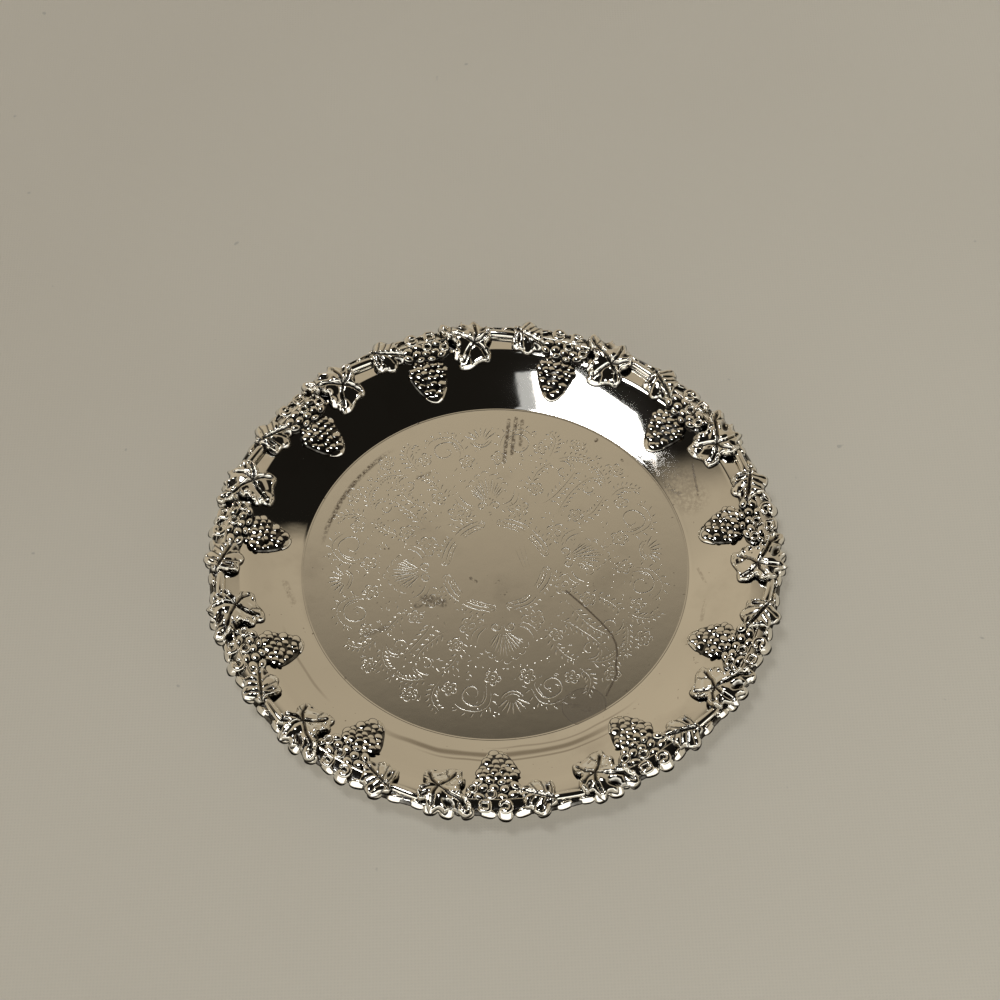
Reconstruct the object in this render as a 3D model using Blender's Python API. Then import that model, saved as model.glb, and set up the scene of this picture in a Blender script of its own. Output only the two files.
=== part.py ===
"""Round silver trinket dish with an applied fruiting-vine border.

A spun pan carries a border of castings that repeats round its flange. Each
repeat is a vine strip, a small leaf, a bunch of grapes and a large leaf, and
each is soldered on by itself. Units are metres and +Z is up. The origin is
the centre of the flat underside. The border runs clockwise seen from above.
"""

import math

import bmesh
import bpy
from mathutils import Vector
from mathutils.geometry import delaunay_2d_cdt

MM = 0.001

# Pan, spun from one sheet
SHEET = 1.1 * MM
FLOOR_RADIUS = 55.3 * MM
WALL_RUN = 17.2 * MM
WALL_RISE = 6.4 * MM
WALL_BOW = 0.35 * MM
FLANGE_WIDTH = 7.2 * MM
EDGE_ROUND = 0.25 * MM
PAN_FACETS = 60
WALL_STEPS = 3

# Solder gap between two pieces
CLEARANCE = 0.3 * MM

# Vine strip, which stands past the flange's outer edge
STRIP_OVERHANG = 1.3 * MM
STRIP_THICKNESS = 0.5 * MM
STRAND_WIDTH = 2.2 * MM
STRAND_GAP = 0.4 * MM
STRAND_RISE = 1.9 * MM
STEM_LENGTH = 6.2 * MM
STEM_DIP = 0.7 * MM
KNUCKLE_BULGE = 1.6 * MM
KNUCKLE_WIDTH = 5.4 * MM
KNUCKLE_RISE = 0.6 * MM
KNUCKLE_OFFSET = 1.0 * MM
STRAND_SHOULDER_SHARE = 0.55
STATION_SPACING = 1.6 * MM
LAPPED_SPACING = 7 * MM

# Leaves, whose centres lie in from the middle of the strip
LEAF_THICKNESS = 0.6 * MM
LARGE_LEAF_REACH = 11.8 * MM
LARGE_LEAF_PUFF = 1.1 * MM
LARGE_LEAF_INSET = 4.4 * MM
SMALL_LEAF_REACH = 6.2 * MM
SMALL_LEAF_PUFF = 0.9 * MM
SMALL_LEAF_INSET = 2.0 * MM
BEND_SPACING = 3 * MM

# A leaf's relief: shares of its reach, and shares of its puff
HEART_LIFT = 0.55
VEIN_MIDDLE = (0.45, 0.35)
VEIN_END = (0.80, 0.10)
BLADE_INNER = (0.42, 1.00)
BLADE_OUTER = (0.78, 0.75)
BLADE_SIDES = (0.25, 0.75)

# Grapes, packed in rows from the tip outwards, each row one berry longer or shorter than the last
BERRY_PITCH = 1.95 * MM
SHOULDER_PITCH = 2.6 * MM
BERRY_RISE = 1.6 * MM
HANGING_COUNTS = (2, 3, 4, 5, 6, 5)
SHOULDER_COUNTS = (4, 5)
SHOULDER_SHIFT = 1.3 * MM
ROW_SHARE = math.sqrt(3) / 2
CAP_SHARE = 0.5
VALLEY_SHARE = 0.45

# Places along one repeat, clockwise
LEAF_TO_BUNCH = 10.6 * MM
BUNCH_TO_LEAF = 16.8 * MM
FIRST_BUNCH_AZIMUTH = math.radians(105.7)

# Outlines as (direction in degrees, share of the leaf's reach), lobes and notches in turn
LARGE_LEAF_EDGE = (
    (27, 0.54), (60, 0.47), (86, 0.70), (102, 0.60), (117, 0.74), (129, 0.70), (143, 1.00),
    (184, 0.50), (214, 0.64), (222, 0.62), (238, 0.73), (282, 0.51), (309, 0.60), (354, 0.34),
)
LARGE_LEAF_VEINS = (27, 86, 147, 236, 309)
SMALL_LEAF_EDGE = (
    (27, 0.76), (55, 0.72), (98, 0.96), (128, 0.80), (150, 0.94), (182, 0.74), (222, 0.98),
    (246, 0.80), (274, 0.90), (300, 0.76), (330, 1.00), (360, 0.72),
)
SMALL_LEAF_VEINS = (27, 98, 150, 222, 274, 330)

# Points nearer than this are one point
SAME_POINT = 0.02 * MM

# Worked out from the sizes above
FLANGE_INNER = FLOOR_RADIUS + WALL_RUN
FLANGE_OUTER = FLANGE_INNER + FLANGE_WIDTH
FLANGE_TOP = SHEET + WALL_RISE
STRIP_WIDTH = 2 * STRAND_WIDTH + STRAND_GAP
STRIP_INNER = FLANGE_OUTER + STRIP_OVERHANG - STRIP_WIDTH
BORDER_RADIUS = STRIP_INNER + STRIP_WIDTH / 2
LAP_RADIUS = STRIP_INNER - CLEARANCE
LARGE_LEAF_RADIUS = BORDER_RADIUS - LARGE_LEAF_INSET
SMALL_LEAF_RADIUS = BORDER_RADIUS - SMALL_LEAF_INSET
STRIP_BASE = FLANGE_TOP + CLEARANCE
STRIP_TOP = STRIP_BASE + STRIP_THICKNESS


def wall_height(share):
    """Height of the sheet's upper face, part of the way up the wall."""
    return SHEET + WALL_RISE * share - 4 * WALL_BOW * share * (1 - share)


def pan_height(radius):
    """Height of the pan's upper face at a radius."""
    share = (radius - FLOOR_RADIUS) / WALL_RUN
    return wall_height(min(max(share, 0.0), 1.0))


def rest_height(radius):
    """Lowest height for the back of a casting that lies on the pan."""
    return pan_height(radius) + CLEARANCE


def lap_height(radius):
    """Lowest height for the back of a leaf, which laps the strip and then the pan."""
    over_strip = STRIP_TOP + CLEARANCE
    if radius >= LAP_RADIUS:
        return over_strip
    if radius <= FLANGE_INNER:
        return rest_height(radius)
    share = (radius - FLANGE_INNER) / (LAP_RADIUS - FLANGE_INNER)
    return rest_height(FLANGE_INNER) + share * (over_strip - rest_height(FLANGE_INNER))


def silver(name, colour, roughness):
    """A polished or satin silver finish."""
    finish = bpy.data.materials.new(name)
    finish.use_nodes = True
    shader = finish.node_tree.nodes["Principled BSDF"]
    shader.inputs["Base Color"].default_value = (*colour, 1.0)
    shader.inputs["Metallic"].default_value = 1.0
    shader.inputs["Roughness"].default_value = roughness
    return finish


def mesh_of(name, vertices, faces):
    """A closed mesh with its faces turned outwards, smooth but for its sharp edges."""
    mesh = bpy.data.meshes.new(name)
    mesh.from_pydata(vertices, [], faces)
    work = bmesh.new()
    work.from_mesh(mesh)
    bmesh.ops.recalc_face_normals(work, faces=work.faces)
    work.to_mesh(mesh)
    work.free()
    mesh.shade_smooth()
    mesh.set_sharp_from_angle(angle=math.radians(35))
    return mesh


def add_piece(name, mesh, finish, parent=None, radius=0.0, azimuth=0.0):
    """One physical piece, standing at a radius and an azimuth, its own +Y pointing outwards."""
    piece = bpy.data.objects.new(name, mesh)
    piece.data.materials.clear()
    piece.data.materials.append(finish)
    bpy.context.collection.objects.link(piece)
    piece.parent = parent
    piece.location = (radius * math.cos(azimuth), radius * math.sin(azimuth), 0.0)
    piece.rotation_euler.z = azimuth - math.pi / 2
    return piece


def pan_profile():
    """The sheet's section as (radius, height), from the axis over the top and back below."""
    lean = math.atan2(WALL_RISE, WALL_RUN)
    shift = SHEET * math.tan(lean / 2)
    wall = [
        (FLOOR_RADIUS + WALL_RUN * step / WALL_STEPS, wall_height(step / WALL_STEPS))
        for step in range(WALL_STEPS + 1)
    ]
    rim = [
        (FLANGE_OUTER - EDGE_ROUND, FLANGE_TOP),
        (FLANGE_OUTER, FLANGE_TOP - EDGE_ROUND),
        (FLANGE_OUTER, WALL_RISE + EDGE_ROUND),
        (FLANGE_OUTER - EDGE_ROUND, WALL_RISE),
    ]
    below = [(radius + shift, height - SHEET) for radius, height in reversed(wall)]
    return wall + rim + below


def pan_mesh():
    """The pan, turned about the Z axis and closed at its middle by two fans."""
    profile = pan_profile()
    vertices = [(0.0, 0.0, SHEET), (0.0, 0.0, 0.0)]
    for radius, height in profile:
        for step in range(PAN_FACETS):
            turn = 2 * math.pi * step / PAN_FACETS
            vertices.append((radius * math.cos(turn), radius * math.sin(turn), height))

    def ring(row, step):
        return 2 + row * PAN_FACETS + step % PAN_FACETS

    last = len(profile) - 1
    faces = []
    for step in range(PAN_FACETS):
        faces.append((0, ring(0, step), ring(0, step + 1)))
        faces.append((1, ring(last, step + 1), ring(last, step)))
        for row in range(last):
            faces.append((
                ring(row, step), ring(row + 1, step),
                ring(row + 1, step + 1), ring(row, step + 1),
            ))
    return mesh_of("dish_pan", vertices, faces)


def reach_at(edge, reach, direction):
    """How far a leaf reaches in a direction, eased between its lobes and notches."""
    turns = [degrees for degrees, _ in edge]
    shares = [share for _, share in edge]
    direction = (direction - turns[0]) % 360 + turns[0]
    after = next((i for i, turn in enumerate(turns) if turn > direction), len(turns))
    before = after - 1
    end = turns[after] if after < len(turns) else turns[0] + 360
    way = (direction - turns[before]) / (end - turns[before])
    ease = (1 - math.cos(math.pi * way)) / 2
    share = shares[before] + ease * (shares[after % len(turns)] - shares[before])
    return reach * share


def leaf_outline(edge, reach, steps=2):
    """Points round a leaf, with one between each lobe and notch."""
    points = []
    for index, (start, _) in enumerate(edge):
        end = edge[(index + 1) % len(edge)][0]
        span = (end - start) % 360
        for step in range(steps):
            direction = start + span * step / steps
            length = reach_at(edge, reach, direction)
            points.append((
                length * math.cos(math.radians(direction)),
                length * math.sin(math.radians(direction)),
            ))
    return points


def cut_at_radius(outline, centre_radius, radius):
    """The outline with a point wherever it crosses a circle about the dish's axis, and those points."""
    def beyond(point):
        return math.hypot(point[0], centre_radius + point[1]) - radius

    cut, crossings = [], []
    for index, start in enumerate(outline):
        end = outline[(index + 1) % len(outline)]
        cut.append(start)
        if (beyond(start) >= 0) == (beyond(end) >= 0):
            continue
        low, high = (start, end) if beyond(start) < 0 else (end, start)
        for _ in range(40):
            middle = ((low[0] + high[0]) / 2, (low[1] + high[1]) / 2)
            low, high = (middle, high) if beyond(middle) < 0 else (low, middle)
        if min(math.dist(high, start), math.dist(high, end)) > SAME_POINT:
            cut.append(high)
            crossings.append(high)
        else:
            crossings.append(start if math.dist(high, start) < math.dist(high, end) else end)
    return cut, crossings


def bend_lines(crossings, centre_radius, radius):
    """Arcs at one radius across a piece, between its outline's crossings in pairs."""
    lines = []
    crossings = sorted(crossings)
    for left, right in zip(crossings[::2], crossings[1::2]):
        first = math.asin(left[0] / radius)
        turn = math.asin(right[0] / radius) - first
        steps = max(1, round(turn * radius / BEND_SPACING))
        inner = [
            (radius * math.sin(first + turn * s / steps), radius * math.cos(first + turn * s / steps))
            for s in range(1, steps)
        ]
        lines.append([left] + [(x, y - centre_radius) for x, y in inner] + [right])
    return lines


def fill(outline, lines):
    """Triangles inside an outline that keep the lines as edges: points, triangles, outline indices."""
    points = list(outline)
    edges = [(i, (i + 1) % len(outline)) for i in range(len(outline))]
    for line in lines:
        start = len(points)
        points.extend(line)
        edges.extend((start + i, start + i + 1) for i in range(len(line) - 1))
    flat = [Vector((point[0] / MM, point[1] / MM)) for point in points]
    found, _, triangles, origins, _, _ = delaunay_2d_cdt(flat, edges, [], 1, 1e-4)
    kept = [points[ids[0]] if ids else (*(place * MM), 0.0) for place, ids in zip(found, origins)]
    rim = {index: new for new, ids in enumerate(origins) for index in ids if index < len(outline)}
    return kept, triangles, [rim[i] for i in range(len(outline))]


def cast_piece(name, outline, lines, centre_radius, back_height, thickness, bends):
    """A casting with a modelled face and a plain back that follows what it lies on.

    The face's lines hold (x, y, lift) points. The back bends at each radius in
    bends. With no thickness the face and the back meet in one edge.
    """
    def back(point):
        return back_height(math.hypot(point[0], centre_radius + point[1]))

    folds = []
    for radius in bends:
        outline, crossings = cut_at_radius(outline, centre_radius, radius)
        folds += bend_lines(crossings, centre_radius, radius)
    face, face_triangles, face_rim = fill(outline, lines)
    rear, rear_triangles, rear_rim = fill(outline, folds)
    vertices = [
        (point[0], point[1], back(point) + thickness + (point[2] if len(point) > 2 else 0.0))
        for point in face
    ]
    rear_index = {}
    if thickness == 0:
        rear_index = dict(zip(rear_rim, face_rim))
    for index, point in enumerate(rear):
        if index not in rear_index:
            rear_index[index] = len(vertices)
            vertices.append((point[0], point[1], back(point)))
    faces = [tuple(triangle) for triangle in face_triangles]
    faces += [tuple(rear_index[i] for i in reversed(triangle)) for triangle in rear_triangles]
    if thickness:
        for index in range(len(outline)):
            after = (index + 1) % len(outline)
            faces.append((
                rear_index[rear_rim[index]], rear_index[rear_rim[after]],
                face_rim[after], face_rim[index],
            ))
    return mesh_of(name, vertices, faces)


def leaf_lines(edge, reach, veins, puff):
    """Sunk veins from the leaf's heart to its lobes, and the raised blade between them."""
    def point(direction, share, lift):
        length = share * reach_at(edge, reach, direction)
        turn = math.radians(direction)
        return (length * math.cos(turn), length * math.sin(turn), lift * puff)

    lines = []
    for index, vein in enumerate(veins):
        heart = (0.0, 0.0, HEART_LIFT * puff)
        lines.append([heart, point(vein, *VEIN_MIDDLE), point(vein, *VEIN_END)])
        span = (veins[(index + 1) % len(veins)] - vein) % 360
        for side in BLADE_SIDES:
            direction = vein + span * side
            lines.append([point(direction, *BLADE_INNER), point(direction, *BLADE_OUTER)])
    return lines


def large_leaf_mesh():
    """The five-lobed leaf, drawn about the heart where its veins meet."""
    return cast_piece(
        "large_leaf",
        leaf_outline(LARGE_LEAF_EDGE, LARGE_LEAF_REACH),
        leaf_lines(LARGE_LEAF_EDGE, LARGE_LEAF_REACH, LARGE_LEAF_VEINS, LARGE_LEAF_PUFF),
        LARGE_LEAF_RADIUS, lap_height, LEAF_THICKNESS, (LAP_RADIUS, FLANGE_INNER),
    )


def small_leaf_mesh():
    """The small leaf beside the bunch, drawn about its middle."""
    return cast_piece(
        "small_leaf",
        leaf_outline(SMALL_LEAF_EDGE, SMALL_LEAF_REACH),
        leaf_lines(SMALL_LEAF_EDGE, SMALL_LEAF_REACH, SMALL_LEAF_VEINS, SMALL_LEAF_PUFF),
        SMALL_LEAF_RADIUS, lap_height, LEAF_THICKNESS, (LAP_RADIUS, FLANGE_INNER),
    )


class Repeat:
    """One repeat of the border: its length, how many fit, and where the leaves lie along it.

    Places along the border are lengths at BORDER_RADIUS, clockwise from the
    bunch. They are eased a little so that whole repeats close the ring.
    """

    def __init__(self):
        small = leaf_outline(SMALL_LEAF_EDGE, SMALL_LEAF_REACH)
        large = leaf_outline(LARGE_LEAF_EDGE, LARGE_LEAF_REACH)
        small_left = -min(x for x, _ in small)
        large_right = max(x for x, _ in large)
        self.length = STEM_LENGTH + small_left + LEAF_TO_BUNCH + BUNCH_TO_LEAF + large_right
        self.count = round(2 * math.pi * BORDER_RADIUS / self.length)
        self.pitch = 2 * math.pi / self.count
        self.small_span = self.span(small, SMALL_LEAF_RADIUS, -LEAF_TO_BUNCH)
        self.large_span = self.span(large, LARGE_LEAF_RADIUS, BUNCH_TO_LEAF)
        self.stem = (self.large_span[1] - self.length, self.small_span[0])
        self.middle = (self.small_span[1], self.large_span[0])
        self.leaves = [
            self.plan(small, SMALL_LEAF_RADIUS, -LEAF_TO_BUNCH),
            self.plan(large, LARGE_LEAF_RADIUS, BUNCH_TO_LEAF),
        ]

    def turn(self, along):
        """Angle, clockwise from the bunch, of a place along the border."""
        return along * self.pitch / self.length

    def span(self, outline, centre_radius, along):
        """First and last place along the border that a leaf covers."""
        turns = [math.atan2(x, centre_radius + y) * self.length / self.pitch for x, y in outline]
        return along + min(turns), along + max(turns)

    def plan(self, outline, centre_radius, along):
        """A leaf's outline in the bunch's own frame, whose +Y axis runs out through the bunch."""
        turn = self.turn(along)
        return [
            (
                x * math.cos(turn) + (centre_radius + y) * math.sin(turn),
                (centre_radius + y) * math.cos(turn) - x * math.sin(turn),
            )
            for x, y in outline
        ]


def berry_rows():
    """Rows of the bunch from its tip outwards: (berries, pitch, sideways shift, radius)."""
    hanging, shoulder = len(HANGING_COUNTS), len(SHOULDER_COUNTS)
    counts = HANGING_COUNTS + SHOULDER_COUNTS
    pitches = [BERRY_PITCH] * hanging + [SHOULDER_PITCH] * shoulder
    shifts = [0.0] * hanging + [SHOULDER_SHIFT] * shoulder
    end = abs(shifts[-1]) + pitches[-1] * (counts[-1] - 1) / 2
    radius = math.sqrt(LAP_RADIUS ** 2 - end ** 2) - pitches[-1] / math.sqrt(3)
    radii = [radius]
    for outer, inner in zip(pitches[::-1], pitches[-2::-1]):
        radii.append(radii[-1] - ROW_SHARE * (outer + inner) / 2)
    return list(zip(counts, pitches, shifts, radii[::-1]))


def berry_cells(leaves):
    """Six-sided cells of the berries, each with its middle, corners and pitch.

    A berry that would run into a leaf is left out, as a maker would leave it.
    """
    rows = berry_rows()

    def middle(row, column):
        _, pitch, shift, radius = rows[min(max(row, 0), len(rows) - 1)]
        beyond = row - min(max(row, 0), len(rows) - 1)
        return (shift + column * pitch / 2, radius + beyond * pitch * ROW_SHARE)

    def corner(*places):
        spots = [middle(*place) for place in places]
        return (sum(x for x, _ in spots) / 3, sum(y for _, y in spots) / 3)

    cells = []
    for row, (count, pitch, _, _) in enumerate(rows):
        for column in range(1 - count, count, 2):
            around = [
                (row, column + 2), (row + 1, column + 1), (row + 1, column - 1),
                (row, column - 2), (row - 1, column - 1), (row - 1, column + 1),
            ]
            corners = {}
            for index, place in enumerate(around):
                three = ((row, column), place, around[(index + 1) % 6])
                corners[tuple(sorted(three))] = corner(*three)
            if all(clear_of(list(corners.values()), leaf) for leaf in leaves):
                cells.append((middle(row, column), corners, pitch))
    return cells


def clear_of(cell, leaf):
    """Whether a berry's cell keeps its clearance to a leaf's outline, in plan."""
    edge = [Vector(point) for point in leaf]
    pairs = list(zip(edge, edge[1:] + edge[:1]))
    for x, y in cell:
        spot = Vector((x, y))
        inside = False
        for start, end in pairs:
            along = max(0.0, min(1.0, (spot - start).dot(end - start) / (end - start).length_squared))
            if (start + along * (end - start) - spot).length < CLEARANCE:
                return False
            if (start.y > y) != (end.y > y):
                inside ^= x < start.x + (y - start.y) * (end.x - start.x) / (end.y - start.y)
        if inside:
            return False
    return True


def bunch_mesh(leaves):
    """The bunch as one casting: a dome on each berry's cell, and a back that follows the pan."""
    cells = berry_cells(leaves)
    sides = {}
    places = {}
    for _, corners, _ in cells:
        places.update(corners)
        names = list(corners)
        for start, end in zip(names, names[1:] + names[:1]):
            sides[(start, end)] = True
    rim = {start: end for start, end in sides if (end, start) not in sides}
    name = next(iter(rim))
    outline = []
    while len(outline) < len(rim):
        outline.append((places[name][0], places[name][1] - FLANGE_INNER))
        name = rim[name]
    lines = []
    for start, end in sides:
        if (end, start) in sides and start < end:
            lines.append([
                (places[n][0], places[n][1] - FLANGE_INNER, VALLEY_SHARE * BERRY_RISE)
                for n in (start, end)
            ])
    for (x, y), corners, pitch in cells:
        rise = BERRY_RISE * pitch / BERRY_PITCH
        y -= FLANGE_INNER
        for corner_x, corner_y in corners.values():
            lines.append([(
                x + CAP_SHARE * (corner_x - x),
                y + CAP_SHARE * (corner_y - FLANGE_INNER - y),
                rise,
            )])
    return cast_piece(
        "grape_bunch", outline, lines, FLANGE_INNER, rest_height, 0, (FLANGE_INNER,),
    )


def hump(place, middle, width):
    """1 at the middle, easing to 0 at half the width on each side."""
    offset = min(1.0, abs(place - middle) / (width / 2))
    return (1 + math.cos(math.pi * offset)) / 2


def spaced(start, end, spacing):
    """Places from start to end, both included, at about a spacing."""
    steps = max(1, round((end - start) / spacing))
    return [start + (end - start) * step / steps for step in range(steps + 1)]


def strip_stations(repeat):
    """Places along the strip, and whether it stands at its full height there."""
    start = BUNCH_TO_LEAF - repeat.length + CLEARANCE / 2
    end = BUNCH_TO_LEAF - CLEARANCE / 2
    stations = []
    for opening, closing in (repeat.stem, repeat.middle):
        stations += [(place, False) for place in spaced(start, opening + CLEARANCE, LAPPED_SPACING)]
        full = spaced(opening + 2 * CLEARANCE, closing - 2 * CLEARANCE, STATION_SPACING)
        stations += [(place, True) for place in full]
        start = closing - CLEARANCE
    return stations + [(place, False) for place in spaced(start, end, LAPPED_SPACING)]


def strip_section(repeat, place, full):
    """The strip's section at one place as (radius, height), up its inner side and down its outer."""
    dip = STEM_DIP * hump(place, sum(repeat.stem) / 2, repeat.stem[1] - repeat.stem[0])
    knuckle = hump(place, sum(repeat.middle) / 2 - KNUCKLE_OFFSET, KNUCKLE_WIDTH)
    inner = STRIP_INNER - dip + KNUCKLE_BULGE / 2 * knuckle
    outer = STRIP_INNER - dip + STRIP_WIDTH + KNUCKLE_BULGE * knuckle
    crest = STRIP_TOP
    shoulder = STRIP_TOP
    if full:
        crest = STRIP_BASE + STRAND_RISE + KNUCKLE_RISE * knuckle
        shoulder = STRIP_BASE + STRAND_SHOULDER_SHARE * STRAND_RISE
    return [
        (inner, STRIP_BASE),
        (inner, shoulder),
        (inner + STRAND_WIDTH / 2, crest),
        (inner + STRAND_WIDTH, STRIP_TOP),
        (outer - STRAND_WIDTH, STRIP_TOP),
        (outer - STRAND_WIDTH / 2, crest),
        (outer, shoulder),
        (outer, STRIP_BASE),
    ]


def strip_mesh(repeat):
    """The vine strip, lofted through its sections from end to end."""
    vertices = []
    stations = strip_stations(repeat)
    for place, full in stations:
        turn = repeat.turn(place)
        for radius, height in strip_section(repeat, place, full):
            vertices.append((
                radius * math.sin(turn), radius * math.cos(turn) - BORDER_RADIUS, height,
            ))
    points = len(vertices) // len(stations)
    faces = [tuple(range(points)), tuple(range(len(vertices) - points, len(vertices)))]
    for station in range(len(stations) - 1):
        for point in range(points):
            after = (point + 1) % points
            first, second = station * points, (station + 1) * points
            faces.append((first + point, first + after, second + after, second + point))
    return mesh_of("vine_segment", vertices, faces)


def main():
    for old in list(bpy.data.objects):
        bpy.data.objects.remove(old, do_unlink=True)
    polished = silver("polished_silver", (0.78, 0.74, 0.67), 0.12)
    vine = silver("cast_silver_vine", (0.70, 0.66, 0.59), 0.30)
    leaf = silver("cast_silver_leaf", (0.74, 0.71, 0.64), 0.24)
    grape = silver("cast_silver_grape", (0.68, 0.65, 0.58), 0.20)

    add_piece("dish_pan", pan_mesh(), polished, azimuth=math.pi / 2)
    border = bpy.data.objects.new("border", None)
    bpy.context.collection.objects.link(border)
    repeat = Repeat()
    castings = (
        ("vine_segment", strip_mesh(repeat), vine, BORDER_RADIUS, 0.0),
        ("large_leaf", large_leaf_mesh(), leaf, LARGE_LEAF_RADIUS, BUNCH_TO_LEAF),
        ("small_leaf", small_leaf_mesh(), leaf, SMALL_LEAF_RADIUS, -LEAF_TO_BUNCH),
        ("grape_bunch", bunch_mesh(repeat.leaves), grape, FLANGE_INNER, 0.0),
    )
    for index in range(repeat.count):
        bunch_azimuth = FIRST_BUNCH_AZIMUTH + index * repeat.pitch
        for name, mesh, finish, radius, along in castings:
            azimuth = bunch_azimuth - repeat.turn(along)
            add_piece(f"{name}_{index + 1:02d}", mesh, finish, border, radius, azimuth)


main()
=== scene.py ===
# %% [markdown]
# # A silver trinket dish with a fruiting-vine border
# The dish is one spun pan of plated metal. Castings are soldered round its flange: vine strips, leaves
# and bunches of grapes, in a repeat that goes round eleven times. The solids of the construction are
# loaded first and stay where they are, and this lesson dresses them with fine surfaces and finishes.
# Every length is in metres, so MM turns a drawing's millimetres into Blender's units.

# %% Load the construction
import math
import random

import bmesh
import bpy
import numpy as np
from mathutils import Matrix, Vector, noise
from mathutils.geometry import delaunay_2d_cdt


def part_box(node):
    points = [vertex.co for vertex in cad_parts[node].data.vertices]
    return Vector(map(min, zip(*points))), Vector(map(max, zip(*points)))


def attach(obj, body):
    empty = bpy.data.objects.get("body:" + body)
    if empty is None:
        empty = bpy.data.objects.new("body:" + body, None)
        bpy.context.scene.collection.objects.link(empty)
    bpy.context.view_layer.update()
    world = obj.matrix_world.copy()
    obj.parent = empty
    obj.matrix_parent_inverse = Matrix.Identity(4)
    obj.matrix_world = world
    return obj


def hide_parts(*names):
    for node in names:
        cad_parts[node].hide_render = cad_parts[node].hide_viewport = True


MM = 0.001
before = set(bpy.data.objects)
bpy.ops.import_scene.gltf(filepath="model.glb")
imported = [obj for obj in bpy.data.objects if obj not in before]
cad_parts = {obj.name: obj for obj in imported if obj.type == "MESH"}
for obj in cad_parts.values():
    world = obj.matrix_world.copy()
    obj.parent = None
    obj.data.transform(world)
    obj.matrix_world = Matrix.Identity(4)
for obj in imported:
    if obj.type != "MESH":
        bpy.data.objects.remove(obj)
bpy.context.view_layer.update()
pan_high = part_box("dish_pan")[1]
scene = bpy.context.scene
scene.view_settings.view_transform = "Standard"

# %% [markdown]
# ## The sizes that the looks share with the construction
# The pan's box gives the flange and the sheet's highest face. The other radii repeat the construction's
# own driving sizes, because the fine surfaces have to lie on the same floor, wall and flange.

# %% Sizes of the pan and of the repeat
SHEET = 1.1 * MM
FLOOR_RADIUS = 55.3 * MM
WALL_RUN = 17.2 * MM
WALL_BOW = 0.35 * MM
FLANGE_OUTER = pan_high.x
FLANGE_TOP = pan_high.z
FLANGE_INNER = FLOOR_RADIUS + WALL_RUN
WALL_RISE = FLANGE_TOP - SHEET
CLEARANCE = 0.3 * MM
STRIP_INNER = FLANGE_INNER + 3.7 * MM
STRIP_TOP = FLANGE_TOP + CLEARANCE + 0.5 * MM
LAP_RADIUS = STRIP_INNER - CLEARANCE

REPEATS = 11
PITCH = 2 * math.pi / REPEATS
FIRST_BUNCH = math.radians(105.7)
LARGE_LEAF_TURN = math.radians(12.40)
SMALL_LEAF_TURN = math.radians(-7.83)
LARGE_LEAF_RADIUS = FLANGE_INNER + 1.7 * MM
SMALL_LEAF_RADIUS = FLANGE_INNER + 4.1 * MM


def pan_height(radius):
    """Height of the pan's upper face: flat floor, slightly bowed wall, flat flange."""
    share = min(max((radius - FLOOR_RADIUS) / WALL_RUN, 0.0), 1.0)
    return SHEET + WALL_RISE * share - 4 * WALL_BOW * share * (1 - share)


def rest_height(radius):
    """Where the back of a casting lies, one solder gap over the pan."""
    return pan_height(radius) + CLEARANCE


def lap_height(radius):
    """Where the back of a leaf lies: over the strip outside, and on the pan inside."""
    over_strip = STRIP_TOP + CLEARANCE
    share = (radius - FLANGE_INNER) / (LAP_RADIUS - FLANGE_INNER)
    share = min(max(share, 0.0), 1.0)
    return rest_height(min(radius, FLANGE_INNER)) * (1 - share) + over_strip * share


print("pitch of the border:", round(math.degrees(PITCH), 2), "degrees")

# %% [markdown]
# ## The camera
# The photograph looks down at the dish from in front. The camera stands on a circle round the middle of
# the floor, at an elevation, and is then turned a little off the middle and rolled, as a hand-held
# camera is. The turns are built as three axes, because each one is then easy to follow.

# %% Stand the camera
CAMERA_DISTANCE = 660.5 * MM
CAMERA_ELEVATION = math.radians(58.77)
CAMERA_YAW = 0.003
CAMERA_PITCH = 0.029
CAMERA_ROLL = math.radians(-1.73)
CAMERA_LENS = 83.16
CAMERA_SENSOR = 36.0


def turned(first, second, angle):
    """Two axes, turned towards each other by an angle."""
    cosine, sine = math.cos(angle), math.sin(angle)
    return first * cosine + second * sine, second * cosine - first * sine


def stand_camera():
    back = Vector((0.0, -math.cos(CAMERA_ELEVATION), math.sin(CAMERA_ELEVATION)))
    right = Vector((1.0, 0.0, 0.0))
    up = back.cross(right)
    forward, right = turned(-back, right, CAMERA_YAW)
    forward, up = turned(forward, up, CAMERA_PITCH)
    right, up = turned(right, up, CAMERA_ROLL)
    camera = bpy.data.objects.new("camera", bpy.data.cameras.new("camera"))
    camera.data.lens = CAMERA_LENS
    camera.data.sensor_width = CAMERA_SENSOR
    camera.data.clip_start = 10 * MM
    camera.data.clip_end = 20.0
    axes = Matrix((right, up, -forward)).transposed().to_4x4()
    camera.matrix_world = Matrix.Translation(back * CAMERA_DISTANCE + Vector((0, 0, SHEET))) @ axes
    scene.collection.objects.link(camera)
    scene.camera = camera
    return camera


camera = stand_camera()
print("camera at", [round(x, 3) for x in camera.matrix_world.translation])

# %% [markdown]
# ## Shader maths, written as Python
# A shader is a tree of nodes. Maths in it is easier to read as an expression, so a small class wraps a
# socket and turns +, -, * and / into Math nodes. Every other node comes from one method, which sets the
# node's own settings first and then feeds its sockets.


# %% One wrapped socket and one way to add a node
def operator(operation, reflected=False):
    """A method for one of Python's operators, which adds one Math node."""
    def apply(self, other):
        return self.maths(operation, *((other, self) if reflected else (self, other)))
    return apply


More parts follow.
